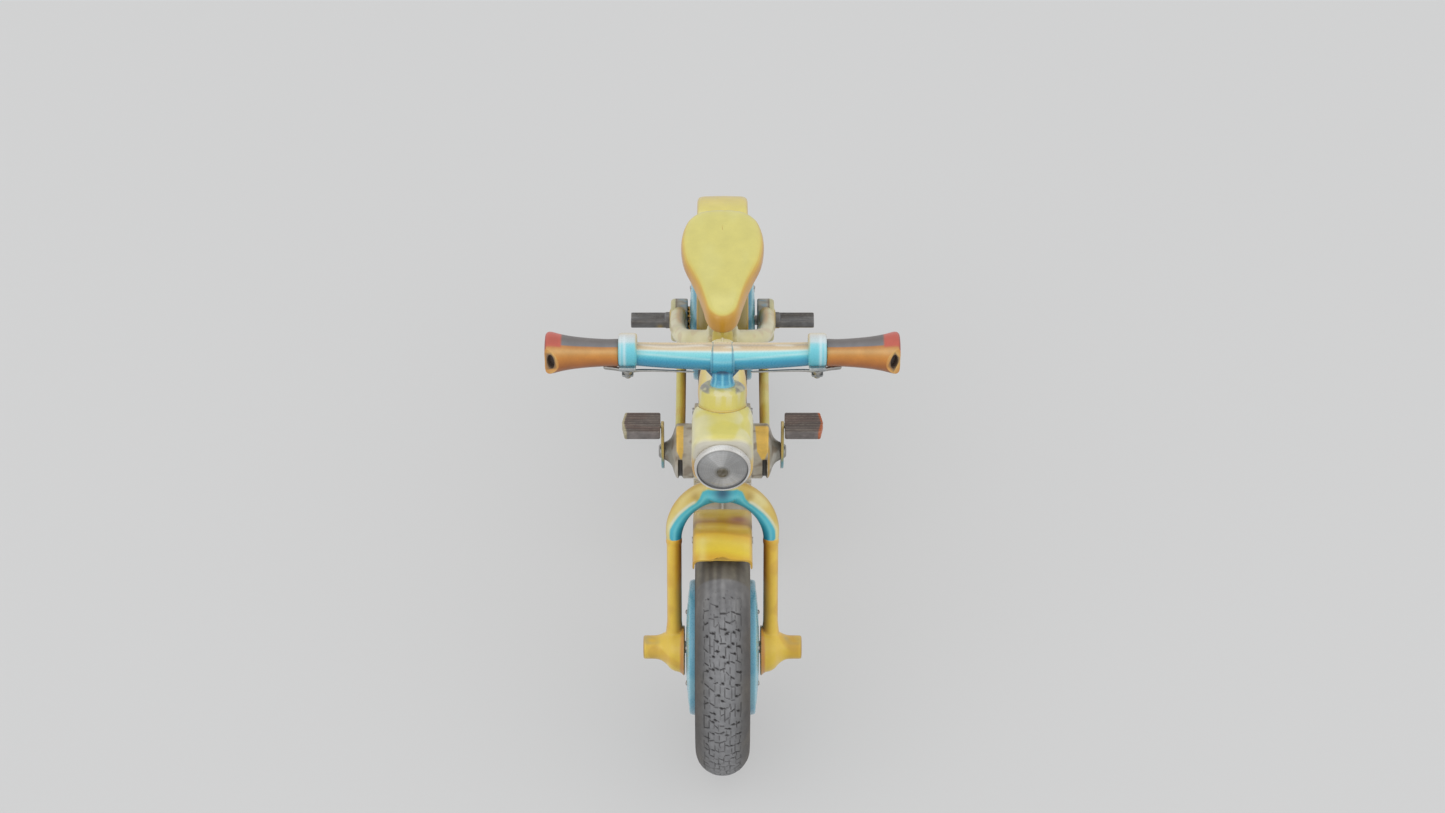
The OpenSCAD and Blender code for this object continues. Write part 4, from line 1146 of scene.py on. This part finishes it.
def brake_lever(word, side):
    y, z = LEVER_YZ
    eye = lathe(soften([(0, -0.5), (1.05, -0.5), (1.05, 0.5), (0, 0.5)], 0.2),
                np.array([22.85, y, z]), Z, 32)
    path = spline([(22.2, y, z), (19.6, y + 0.5, z - 0.1), (14, y + 0.6, z - 0.3),
                   (7, y + 0.5, z - 0.6)], 30)
    blade = tube(path, np.linspace(0.42, 0.26, 30), 16, 0.8, tips=True)
    tail = spline([(23.4, y + 0.2, z), (25.6, y + 1.0, z), (28.2, y + 1.6, z)], 12)
    tip = tube(tail, np.linspace(0.42, 0.6, 12), 16, tips=True)
    form = join(eye, blade, tip)
    piece(f"brake_lever_{word}_blade", on_side(form, side), STEEL, f"brake_lever_{word}")


def grip_paint(s):
    # darker underneath and lighter towards the front and top: painted shade and painted light, with a pale painted
    # highlight along the top front
    tone = ramp(s.facing, (-110, (96, 62, 42)), (-50, (140, 82, 46)), (-10, (176, 106, 48)),
                (20, (206, 136, 56)), (44, (212, 156, 84)), (60, (190, 128, 70)),
                (100, (160, 104, 62)), (170, (140, 88, 52)), (250, (96, 62, 42)))
    tone = mix(tone, (222, 178, 120), 0.5 * bell(s.facing, 42, 9))
    grey = ramp(s.facing, (58, (112, 128, 152)), (68, (124, 122, 124)), (90, (112, 106, 104)),
                (150, (96, 88, 84)))
    band = ease(s.facing, 61, 65) * ease(-s.facing, -165, -150) * ease(-s.far, -39.2, -38.6)
    tone = mix(tone, grey, band)
    red = ease(s.facing, 52, 62) * ease(-s.facing, -170, -150) * ease(s.far, 38.5, 39.1)
    tone = mix(tone, (200, 92, 80), 0.9 * red)
    cap = ease(np.abs(s.normals[:, 0]), 0.6, 0.9) * ease(s.far, 41.5, 42)
    tone = mix(tone, (166, 72, 58), cap)
    flat = bevel_gap(s.points)
    facet = ease(-np.abs(flat), -0.12, -0.04)
    tone = mix(tone, (212, 148, 70), facet)
    aside, above = bevel_spot(s.points)
    ring = np.hypot(aside / HOLE[0], above / HOLE[1])
    rim = np.hypot(aside / 1.6, above / 3.4)
    tone = mix(tone, (228, 190, 116), 0.7 * facet * ease(-rim, -1.25, -0.95))
    # the inside of the hole is painted dark: painted shade in it
    inside = ease(-ring, -1.08, -0.98) * ease(-flat, -0.3, 0.1) * (s.far > 38.4)
    return mix(tone, (80, 66, 60), inside)


def bevel_gap(points):
    """Height above the bevelled end of the grip, measured square to it."""
    far = np.abs(points[:, 0]) - BEVEL_AT[0]
    rest = points[:, 1:] - BAR[1:] - BEVEL_AT[1:]
    return far * BEVEL[0] + rest[:, 0] * BEVEL[1] + rest[:, 1] * BEVEL[2]


def bevel_spot(points):
    """Place on the bevel: along it and up it."""
    far = np.abs(points[:, 0]) - BEVEL_AT[0]
    rest = points[:, 1:] - BAR[1:] - BEVEL_AT[1:]
    return far * -BEVEL[1] + rest[:, 0] * BEVEL[0], rest[:, 1]


def grip(word, side):
    outer = [(3.2, 25.1), (3.35, 25.4), (3.3, 27.5), (3.4, 30), (3.62, 33), (3.95, 36),
             (4.4, 38.6), (4.9, 40.6), (5.08, 41.5), (4.95, 42.2), (4.4, 42.65),
             (3.4, GRIP_END)]
    profile = [(0, 25.1), *map(tuple, spline(outer, 90)), (2.6, GRIP_END - 0.1), (0, GRIP_END - 0.1)]
    form = lathe(profile, BAR + (0, 0, GRIP_LIFT), X, 144)
    along = np.array([-BEVEL[1], BEVEL[0], 0])
    seat = np.array([0, *BAR[1:]]) + BEVEL_AT
    square = [(-9, -9), (9, -9), (9, 9), (-9, 9)]
    slab = skin([[seat + h * BEVEL + a * along + b * Z for a, b in square] for h in (0, 8)])
    well = skin([[seat + h * BEVEL
                  + k * (HOLE[0] * math.cos(t) * along + HOLE[1] * math.sin(t) * Z)
                  for t in circle(40)] for h, k in ((2, 1.0), (0, 1.0), (-0.5, 0.9), (-1.2, 0.8))])
    piece(f"grip_{word}_rubber", on_side(form, side), GRIP, f"grip_{word}", grip_paint, crease=40,
          cuts=(on_side(slab, side), on_side(well, side)))


# ---------- frame, saddle and tank ----------

# right-hand edge of the saddle, (x, y)
SADDLE_SIDE = [(0, 7.4), (1.8, 7.8), (3.4, 9.4), (4.4, 12.0), (5.2, 15.6), (6.5, 21), (8.3, 26.8),
               (10.2, 32.5), (11.05, 39), (10.8, 44.5), (9.4, 49.6), (6.6, 52.7), (3.4, 53.8),
               (0, 54.0)]
# from where to where the saddle's middle line runs
SPINE = (13.0, 42.0)


def tube_paint(s):
    inward = -s.outward * (s.far > 6)
    # darker and browner on faces turned inwards and on faces turned down: painted shade
    tone = mix((206, 190, 88), (190, 156, 66), ease(-s.up, -0.3, 0.7))
    tone = ramp(inward, (-1, (206, 196, 116)), (-0.3, (204, 188, 80)), (0.2, (196, 166, 62)),
                (0.7, (178, 126, 52)), (1, (160, 108, 46))) * 0.75 + tone * 0.25
    tone = s.spotted(tone, (222, 212, 160), 0.4, 12, 7, 0.6, 0.9)
    return s.spotted(tone, (200, 150, 60), 0.3, 8, 15, 0.6, 0.9)


def frame_tubes():
    spine = tube([(0, -48.2, 80.9), (0, 15, 62.4)], 2.2, 48)
    piece("backbone_bar", spine, ENAMEL, "backbone_tube", tube_paint)
    down = tube([(0, -49.4, 78.1), (0, -7, 43)], 2.1, 48)
    piece("down_tube_bar", down, ENAMEL, "down_tube", tube_paint)
    post = tube([(0, 7.5, 44.8), (0, 19.9, 72.2)], 2.4, 48)
    lug = tube([(0, 15.6, 62.6), (0, 16.9, 65.4)], 2.75, 48)
    piece("seat_post_bar", join(post, lug), ENAMEL, "seat_post", tube_paint, weld=0.3, relax=3,
          crease=180)
    for word, side in SIDES.items():
        low, high = box_mm(f"chain_stay_{word}")
        mid = (low + high) / 2
        ys = np.linspace(low[1], high[1], 30)
        radius = np.interp(ys, [low[1], low[1] + 1.5, high[1] - 3, high[1]], [1.5, 1.36, 1.36, 1.5])
        stay = tube([(mid[0], y, mid[2]) for y in ys], radius, 36)
        piece(f"chain_stay_{word}_bar", stay, ENAMEL, f"chain_stay_{word}", tube_paint)


def yoke_paint(s):
    tone = mix((226, 218, 176), (214, 204, 152), s.cloud(8, 1))
    tone = s.spotted(tone, (206, 178, 138), 0.4, 5, 40, 0.6, 0.9)
    # darker on faces turned down: painted shade
    under = ease(-s.up, 0.1, 0.8)
    tone = mix(tone, (176, 146, 84), 0.6 * under)
    aside = s.far
    inward = -s.outward
    pocket = ease(inward, -0.35, 0.25) * ease(s.y, 35, 44) * ease(aside, 8, 9.5)
    tone = mix(tone, (214, 158, 54), 0.9 * pocket)
    outer = ease(aside, 13.2, 14.2) * (s.x > 0) * ease(s.y, 40, 50)
    return mix(tone, (196, 158, 66), 0.7 * outer)


def stay_yoke():
    arm = spline([(2.5, 20.3, 60.0), (7.2, 24.6, 56.8), (10.8, 31.5, 52.3), (12.3, 44, 45.6),
                  (12.4, 55, 40.0), (12.2, 62.5, 35.4)], 60)
    width = np.interp(np.linspace(0, 1, 60), [0, 0.25, 1], [2.8, 2.3, 2.1])
    arms = tube(arm, width, 32)
    heart = block((-4.1, 17, 57.6), (4.1, 23.2, 63.4), 0.8)
    form = join(arms, mirrored(arms), heart)
    piece("stay_yoke_casting", form, ENAMEL, "stay_yoke", yoke_paint, weld=0.3, relax=6, crease=180)


def saddle_rim(y):
    return 74.6 + (y - 5) * 0.042


def saddle_ring(outline, share, rise):
    """The saddle's outline drawn in towards its middle line and raised."""
    low, high = SPINE
    reach = (high - low) / 2
    along = np.tanh((outline[:, 1] - low - reach) / reach * 1.15) * reach + low + reach
    heart = np.column_stack([np.zeros(len(outline)), along])
    flat = heart + (outline - heart) * share
    return np.column_stack([flat, saddle_rim(flat[:, 1]) + rise])


def saddle_paint(s):
    up = np.clip(s.up, -1, 1)
    # darker and more orange down the sides and underneath: painted shade
    tone = ramp(up, (-0.6, (140, 88, 36)), (0.0, (190, 132, 46)), (0.35, (214, 166, 60)),
                (0.6, (222, 196, 84)), (0.85, (220, 208, 112)), (1.0, (216, 206, 114)))
    # the front sides and the nose's front face are painted darker orange: painted shade
    front = ease(-s.y, -33, -20)
    tone = mix(tone, (212, 160, 56), 0.7 * front * ease(-up, -0.8, -0.55))
    nose = ease(-s.y, -12.5, -8.6)
    tone = mix(tone, (228, 220, 140), 0.5 * ease(-s.y, -20, -13) * ease(up, 0.93, 0.98))
    tone = mix(tone, (200, 146, 48), 0.8 * nose * ease(-up, -0.93, -0.7))
    rim = ease(s.y, 51.5, 53.4) * ease(-up, -0.85, -0.5)
    tone = mix(tone, (200, 138, 60), 0.75 * rim)
    smear = ease(s.cloud(9, 31, (1, 0.4, 1)), 0.6, 0.95)
    return mix(tone, (216, 212, 140), 0.25 * smear * ease(up, 0.85, 1.0))


def strip(ring_start, count):
    """Faces that close a ring symmetric about the middle plane, straight across."""
    faces = []
    for i in range(count // 2):
        a, b = i, i + 1
        quad = [a, b, (count - b) % count, (count - a) % count]
        faces.append(tuple(ring_start + k for k in dict.fromkeys(quad)))
    return faces


def saddle_skin(outline, steps):
    """Skin over rings of the saddle's outline, closed straight across at both ends."""
    rings = [saddle_ring(outline, *step) for step in steps]
    points, faces = skin(rings, caps=False)
    count = len(outline)
    return points, faces + strip(0, count) + strip(count * (len(rings) - 1), count)


def saddle():
    right = np.array(SADDLE_SIDE, float)
    around = np.vstack([right, (right * (-1, 1))[-2:0:-1]])
    outline = spline(around, 180, True)
    top = [(0.1, 3.36), (0.3, 3.33), (0.46, 3.26), (0.62, 3.12), (0.76, 2.86), (0.85, 2.5),
           (0.92, 1.95), (0.965, 1.2), (0.992, 0.3), (1.0, -0.6), (1.0, -1.4), (0.98, -2.0),
           (0.95, -2.3), (0.91, -2.3)]
    below = [(0.89, -2.0), (0.91, -1.6), (0.945, -1.2), (0.95, 0.0), (0.92, 1.2), (0.85, 2.0),
             (0.72, 2.5), (0.5, 2.85), (0.3, 2.95), (0.1, 2.98)]
    steps = resample(top + below, 0.22, False)
    piece("saddle_skin", saddle_skin(outline, steps), ENAMEL, "saddle_shell", saddle_paint,
          crease=180)
    base = [(0.1, -1.3), (0.5, -1.3), (0.9, -1.3), (0.925, -1.6), (0.9, -1.9), (0.5, -1.9),
            (0.1, -1.9)]
    piece("saddle_base_plate", saddle_skin(outline, base), TREAD_TIN, "saddle_pan",
          clouded((120, 112, 104), (88, 78, 70), 6, 3))


def tank_paint(s):
    # darker underneath and paler on top: painted shade and painted light
    tone = ramp(s.up, (-1, (150, 110, 50)), (-0.2, (190, 146, 62)), (0.3, (214, 176, 78)),
                (0.75, (226, 204, 116)), (1, (224, 214, 160)))
    middle_band = ease(-s.far, -4.3, -3.7) * ease(s.up, 0.3, 0.7)
    tone = mix(tone, (218, 208, 166), 0.85 * middle_band)
    tail = ease(s.y, -4.5, -2.5) * ease(s.up, -0.2, 0.3)
    return mix(tone, (216, 208, 162), 0.9 * tail)


def tank():
    """Two pressed halves that meet at a flange along the middle."""
    ys = [-33.8, -33.3, -32, -29.5, -26, -21, -15, -9, -3.5, -0.6, 0.9, 1.6]
    half = [0.6, 2.0, 3.6, 5.0, 5.9, 6.25, 6.0, 5.3, 4.6, 3.6, 2.2, 0.7]
    rise = [0.5, 1.6, 2.8, 3.9, 4.4, 4.6, 4.5, 4.3, 4.0, 3.2, 2.0, 0.6]
    steps = np.linspace(0, len(ys) - 1, 44)
    index = np.arange(len(ys))
    t = np.linspace(-math.pi / 2, math.pi / 2, 40)
    rings, flange = [], []
    for s in steps:
        y, w, h = (np.interp(s, index, v) for v in (ys, half, rise))
        mid = np.interp(y, [-34, -20, 2], [76.4, 76.0, 73.7])
        arc = np.column_stack([w * np.cos(t) ** 0.82, np.full(40, y), mid + h * np.sin(t)])
        rings.append(np.vstack([arc, [(0.03, y, mid + h * 0.9), (0.03, y, mid - h * 0.9)]]))
        flange.append((0, y, mid + h + 0.05))
    form = skin(rings)
    for word, side in SIDES.items():
        piece(f"tank_{word}_pressing", on_side(form, side), ENAMEL, f"tank_{word}", tank_paint,
              divide=1, crease=50)
    seam = tube(flange[2:-2], 0.28, 12, tips=True)
    piece("tank_seam", seam, ENAMEL, "tank_right", tank_paint, extra=True)


# ---------- engine ----------

# circles (y, z, radius) whose hull is the engine case
CASE = [(-5, 16.5, 6.9), (21.3, 16.6, 7.0), (22.8, 28.0, 5.5), (6.0, 41.0, 5.0), (-6.0, 40.0, 5.9)]
CASE_X = box_mm("engine_case_right")[1][0]


def case_paint(s):
    tone = mix((196, 190, 176), (172, 163, 146), s.cloud(7, 2))
    upper = ease(s.z, 36.5, 38)
    tone = mix(tone, (206, 200, 186), 0.5 * upper)
    return s.spotted(tone, (206, 176, 100), 0.2, 11, 25, 0.68, 0.9)


def engine_case(word, side):
    outline = hull_outline(CASE, 220)
    heart = np.array([8.0, 28.0])
    reach = 19.0
    rings = []
    steps = [(0.03, 1.0), (0.03, -0.35), (0.45, -0.35), (0.5, 0.0), (CASE_X - 1.3, 0.0),
             (CASE_X - 0.55, 0.25), (CASE_X - 0.12, 0.75), (CASE_X, 1.4), (CASE_X, 2.0),
             (CASE_X - 0.35, 2.3), (CASE_X - 0.35, 2.8), (CASE_X, 3.1), (CASE_X, 5.0),
             (CASE_X, 17.0)]
    for x, inset in resample(steps, 1.0, False):
        ring = heart + (outline - heart) * (1 - inset / reach)
        rings.append(np.column_stack([np.full(len(ring), x), ring]))
    forms = [skin(rings)]
    for z in (37.4, 39.3, 41.2, 43.1):
        near = outline[np.abs(outline[:, 1] - z) < 0.8]
        front, back = near[:, 0].min(), near[:, 0].max()
        forms.append(block((0.1, front - 0.4, z - 0.35), (CASE_X - 0.1, back + 0.4, z + 0.35), 0.25))
    piece(f"engine_case_{word}_pressing", on_side(join(*forms), side), LACQUER, f"engine_case_{word}",
          case_paint)


def hub_paint(s):
    local = s.points - CRANK
    tone = ramp(s.far, (7.6, (206, 200, 186)), (9.6, (200, 192, 176)), (12.4, (182, 172, 154)),
                (13.6, (166, 162, 148)), (16, (138, 136, 130)))
    tone = s.spotted(tone, (208, 204, 196), 0.5, 4, 6, 0.55, 0.85)
    tone = s.spotted(tone, (128, 108, 88), 0.45, 3, 26, 0.6, 0.9)
    r = np.hypot(local[:, 1], local[:, 2])
    drum = ease(r, 6.2, 6.6) * ease(-s.far, -12.6, -12.3)
    lean = np.degrees(np.arctan2(local[:, 2], -local[:, 1]))
    left = s.x < 0
    inner = np.where(left, np.interp(lean, [20, 40, 90], [10.9, 10.4, 10.4]),
                     np.interp(lean, [20, 40, 90], [10.6, 9.2, 8.8]))
    outer = np.interp(lean, [20, 40, 90], [11.0, 12.2, 12.4])
    leaf = ease(lean, 18, 24) * ease(-lean, -110, -100)
    leaf = leaf * ease(s.far - inner, -0.1, 0.1) * ease(outer - s.far, -0.1, 0.1)
    tone = mix(tone, (252, 206, 98), 0.95 * leaf * drum)
    # the slot is a groove painted near black: painted shade in it
    slot = ease(-lean, -24, -18) * ease(lean, -75, -65) * ease(-np.abs(s.far - 11.25), -0.62, -0.5)
    tone = mix(tone, (70, 68, 66), 0.95 * slot * drum)
    strip = ease(s.far, 12.0, 12.2) * ease(-s.far, -12.7, -12.5) * ease(-lean, -60, -40) * (s.x > 0)
    return mix(tone, (206, 164, 76), 0.8 * strip * ease(lean, -70, -50))


def hub_cover(word, side):
    drum = [(0, 7.7), (7.2, 7.7), (7.4, 8.0), (7.4, 12.0), (7.1, 12.4), (6.3, 12.75), (5.5, 13.05),
            (4.6, 13.3), (3.7, 13.75), (3.0, 14.4), (2.55, 15.1), (2.4, 15.55), (1.4, 15.6),
            (1.35, 15.2), (0, 15.2)]
    points, faces = lathe(resample(soften(drum, 0.22, steps=4), 0.22, False), CRANK_MID, X, 144)
    local = points - CRANK_MID
    lean = np.degrees(np.arctan2(local[:, 2], -local[:, 1]))
    slot = ease(-lean, -22, -19) * ease(lean, -75, -70)
    slot *= ease(-np.abs(points[:, 0] - 11.25), -0.6, -0.45)
    points[:, 1:] -= (local * 0.09 * slot[:, None])[:, 1:]
    piece(f"hub_cover_{word}_drum", on_side((points, faces), side), LACQUER, f"hub_cover_{word}",
          hub_paint)


def crank_paint(s):
    up = s.z - CRANK[2]
    outward = s.outward
    tone = ramp(up, (-8, (120, 104, 80)), (-5.8, (104, 162, 174)), (-2.0, (110, 166, 178)),
                (-0.5, (200, 172, 92)), (4, (212, 184, 92)), (9, (196, 172, 100)),
                (13, (170, 152, 112)))
    blue = ease(outward, 0.1, 0.5) * ease(-up, -6, 2)
    tone = mix(tone, (92, 156, 172), 0.8 * blue)
    return mix(tone, (122, 100, 78), 0.9 * ease(-outward, 0.1, 0.5))


def cranks():
    top, bottom = 9.9, box_mm("crank_plates")[0][2] - CRANK[2]
    outline = soften([(0, bottom), (1.5, bottom + 1.8), (2.5, -2.2), (2.6, 1), (1.7, top - 2.0),
                      (1.0, top), (-1.0, top), (-1.7, top - 2.0), (-2.6, 1), (-2.5, -2.2),
                      (-1.5, bottom + 1.8)], 0.7, True, 4) + CRANK[1:]
    plate = prism(outline, 15.6, 16.4, 0.2)
    boss = lathe(soften([(0, 15.7), (1.9, 15.7), (1.9, 16.7), (1.4, 17.1), (0, 17.1)], 0.2),
                 CRANK_MID, X, 40)
    piece("crank_plate_pair", both(plate), BLUE_ENAMEL, "crank_plates", crank_paint)
    piece("crank_bosses", both(boss), STEEL, "crank_plates", extra=True)
    pin_up = middle("pedal_right")[2]
    pin = lathe([(0.7, 16.3), (0.7, 26.2), (0, 26.2)], np.array([0, CRANK[1], pin_up]), X, 24)
    piece("pedal_pins", both(pin), STEEL, "crank_plates", extra=True)


def ribbed_slab(low, high, ribs, lift=0.28, point=0.0):
    """Flat block whose broad faces carry rounded ribs along X."""
    low, high = np.array(low, float), np.array(high, float)
    mid, half = (low + high) / 2, (high - low) / 2
    t = np.linspace(-1, 1, 97)
    wave = lift * (0.5 + 0.5 * np.cos(t * math.pi * ribs)) - lift
    edge = np.clip((1 - np.abs(t)) / 0.08, 0, 1)
    top = half[2] * np.sqrt(1 - (1 - edge) ** 2) + wave * edge
    upper = np.column_stack([mid[1] + t * half[1], mid[2] + np.maximum(top, 0.02)])
    lower = np.column_stack([mid[1] + t[::-1] * half[1], mid[2] - np.maximum(top[::-1], 0.02)])
    outline = np.vstack([upper, lower])
    heart = outline.mean(0)
    rings = []
    ends = [(low[0], 0.9), (low[0] + 0.12, 0.97)]
    ends += [(x, 1) for x in np.linspace(low[0] + 0.4, high[0] - 0.4, 28)]
    ends += [(high[0] - 0.12, 0.97), (high[0], 0.9)]
    for x, share in ends:
        ring = heart + (outline - heart) * share
        off = np.abs(ring[:, 0] - mid[1]) / half[1]
        tail = ease(np.array(x), high[0] - 2.0, high[0])
        rings.append(np.column_stack([x - point * off * tail, ring]))
    return skin(rings)


def pedal(word, side):
    node = f"pedal_{word}"
    low, high = box_mm("pedal_right")
    end_colour = (214, 108, 56) if side > 0 else (208, 198, 160)

    def paint(s):
        tone = mix((124, 114, 108), (96, 86, 82), s.cloud(1.6, 14, (0.15, 1, 1)))
        tone = mix(tone, (118, 96, 88), 0.5 * ease(s.cloud(4, 41, (0.2, 1, 1)), 0.5, 0.8))
        face = ease(-(s.y - low[1]), -0.7, -0.1)
        tone = mix(tone, (152, 146, 146), 0.7 * face)
        far = s.far + 0.8 * np.abs(s.y - CRANK[1]) / (high[1] - low[1]) * 2
        return mix(tone, end_colour, 0.85 * ease(far, high[0] - 0.75, high[0] - 0.45))
    form = ribbed_slab(low, high, 9, 0.22, 0.8)
    piece(f"{node}_tread", on_side(form, side), TREAD_TIN, node, paint)


def rear_pegs():
    low, high = box_mm("rear_pegs")
    form = ribbed_slab((15.2, low[1], low[2] + 1.1), (high[0], high[1], high[2] - 1.1), 5, 0.22)
    boss = lathe(soften([(2.3, 14.9), (2.3, 16.0), (1.8, 16.4), (0, 16.4)], 0.2), REAR_MID, X, 40)

    def paint(s):
        tone = mix((128, 128, 130), (104, 100, 98), s.cloud(3, 18, (0.2, 1, 1)))
        # yellow along the right peg's lower edge: painted highlights of yellow light
        under = ease(-(s.z - low[2] - 1.1), -0.5, -0.1)
        tone = mix(tone, (214, 176, 84), 0.7 * under * (s.x > 0))
        # the same yellow painted highlight under the left peg
        patch = bell(s.x, -17.6, 0.8) * ease(-s.up, -0.2, 0.3)
        return mix(tone, (206, 168, 78), 0.8 * patch)
    piece("rear_peg_pair", both(join(form, boss)), TREAD_TIN, "rear_pegs", paint)


def housing_paint(s):
    r = s.round(REAR)[0]
    tone = mix((178, 170, 156), (144, 134, 120), s.cloud(2.6, 9))
    spot = ease(s.cloud(2.0, 33), 0.55, 0.75) * ease(-s.far, -12.6, -12.0)
    tone = mix(tone, (136, 164, 182), 0.6 * spot)
    rim = ease(s.far, 13.0, 13.4)
    tone = mix(tone, (216, 208, 160), 0.9 * rim)
    crease = bell(s.far, 13.0, 0.2) * ease(r, 5.5, 6.0)
    tone = mix(tone, (120, 96, 70), 0.6 * crease)
    pocket = ease(s.far, 13.3, 13.8) * ease(-r, -4.9, -4.4)
    return mix(tone, (214, 168, 72), 0.5 * pocket)


def rear_housing(word, side):
    drum = [(0, 9.8), (5.9, 9.8), (6.1, 10.1), (6.1, 13.5), (5.85, 14.25), (5.2, 14.6), (4.6, 14.3),
            (4.2, 14.0), (3.6, 14.1), (3.1, 14.75), (2.4, 14.95), (0, 14.95)]
    profile = resample(soften(drum, 0.4, steps=4), 0.2, False)
    form = lathe(profile, REAR_MID, X, 128)
    piece(f"rear_housing_{word}_drum", on_side(form, side), LACQUER, f"rear_housing_{word}",
          housing_paint)


def plain_nodes():
    """Hidden and small CAD nodes keep their shape and take a real material."""
    for slot, material in (("bright_steel", STEEL), ("clock_brass", BRASS)):
        for node, obj in frame["nodes"].items():
            if SLOT_OF[node] == slot and not obj.hide_render:
                obj.data.materials.clear()
                obj.data.materials.append(material)
    reflector = frame["nodes"]["lamp_reflector"]
    reflector.data.materials.clear()
    reflector.data.materials.append(STEEL)


# ---------- studio ----------

CAMERA_TILT = 40.0
CAMERA_LENS = 77.23
CAMERA_AWAY = 0.775
CAMERA_RISE = 0.060125
FLOOR_HALF = 6.0
# name, place in metres, size in metres, power in watts
LAMPS = (("top", (-0.1, -0.3, 1.6), 2.6, 3.0), ("left", (-1.2, -1.2, 1.2), 1.4, 5.0),
         ("right", (1.4, -1.0, 1.1), 1.4, 3.0))


def studio():
    scene = bpy.context.scene
    scene.view_settings.view_transform = "Standard"
    world = bpy.data.worlds.new("studio")
    scene.world = world
    world.use_nodes = True
    background = world.node_tree.nodes["Background"]
    background.inputs["Color"].default_value = (0.98, 0.99, 1.0, 1)
    background.inputs["Strength"].default_value = 0.86
    for name, place, size, power in LAMPS:
        lamp = bpy.data.lights.new(name, "AREA")
        lamp.size = size
        lamp.energy = power
        light = bpy.data.objects.new(name, lamp)
        scene.collection.objects.link(light)
        light.location = place
        toward = Vector((0, 0, 0.05)) - Vector(place)
        light.rotation_euler = toward.to_track_quat("-Z", "Y").to_euler()
    far = FLOOR_HALF
    mesh = bpy.data.meshes.new("floor")
    mesh.from_pydata([(-far, -far, 0), (far, -far, 0), (far, far, 0), (-far, far, 0)], [],
                     [(0, 1, 2, 3)])
    floor = bpy.data.objects.new("floor", mesh)
    scene.collection.objects.link(floor)
    paper = Graph("pale_floor")
    tone = paper.remap(paper.noise(300.0), 0.3, 0.7, 0.985, 1.0)
    paper.feed(paper.shader.inputs["Base Color"],
               paper.blend(1.0, rgba((140, 140, 140)), tone, "MULTIPLY"))
    paper.shader.inputs["Emission Color"].default_value = rgba((206, 206, 206))
    paper.shader.inputs["Emission Strength"].default_value = 0.62
    paper.shader.inputs["Roughness"].default_value = 0.9
    paper.shader.inputs["Specular IOR Level"].default_value = 0.1
    mesh.materials.append(paper.material)


def camera():
    lens = bpy.data.cameras.new("camera")
    lens.lens = CAMERA_LENS
    lens.sensor_width = 36.0
    obj = bpy.data.objects.new("camera", lens)
    bpy.context.scene.collection.objects.link(obj)
    tilt = math.radians(CAMERA_TILT)
    look = Vector((0, math.cos(tilt), -math.sin(tilt)))
    rise = Vector((0, math.sin(tilt), math.cos(tilt)))
    obj.location = Vector(FRONT * MM) - CAMERA_AWAY * look + CAMERA_RISE * rise
    obj.rotation_euler = look.to_track_quat("-Z", "Y").to_euler()
    bpy.context.scene.camera = obj


camera()
studio()
wheels()
for word, side in SIDES.items():
    fork_leg(word, side)
    brake_lever(word, side)
    grip(word, side)
    engine_case(word, side)
    hub_cover(word, side)
    pedal(word, side)
    rear_housing(word, side)
fork_arch()
front_mudguard()
rear_mudguard()
nacelle()
headlamp()
head()
stem()
handlebar()
clamps()
frame_tubes()
stay_yoke()
saddle()
tank()
cranks()
rear_pegs()
plain_nodes()
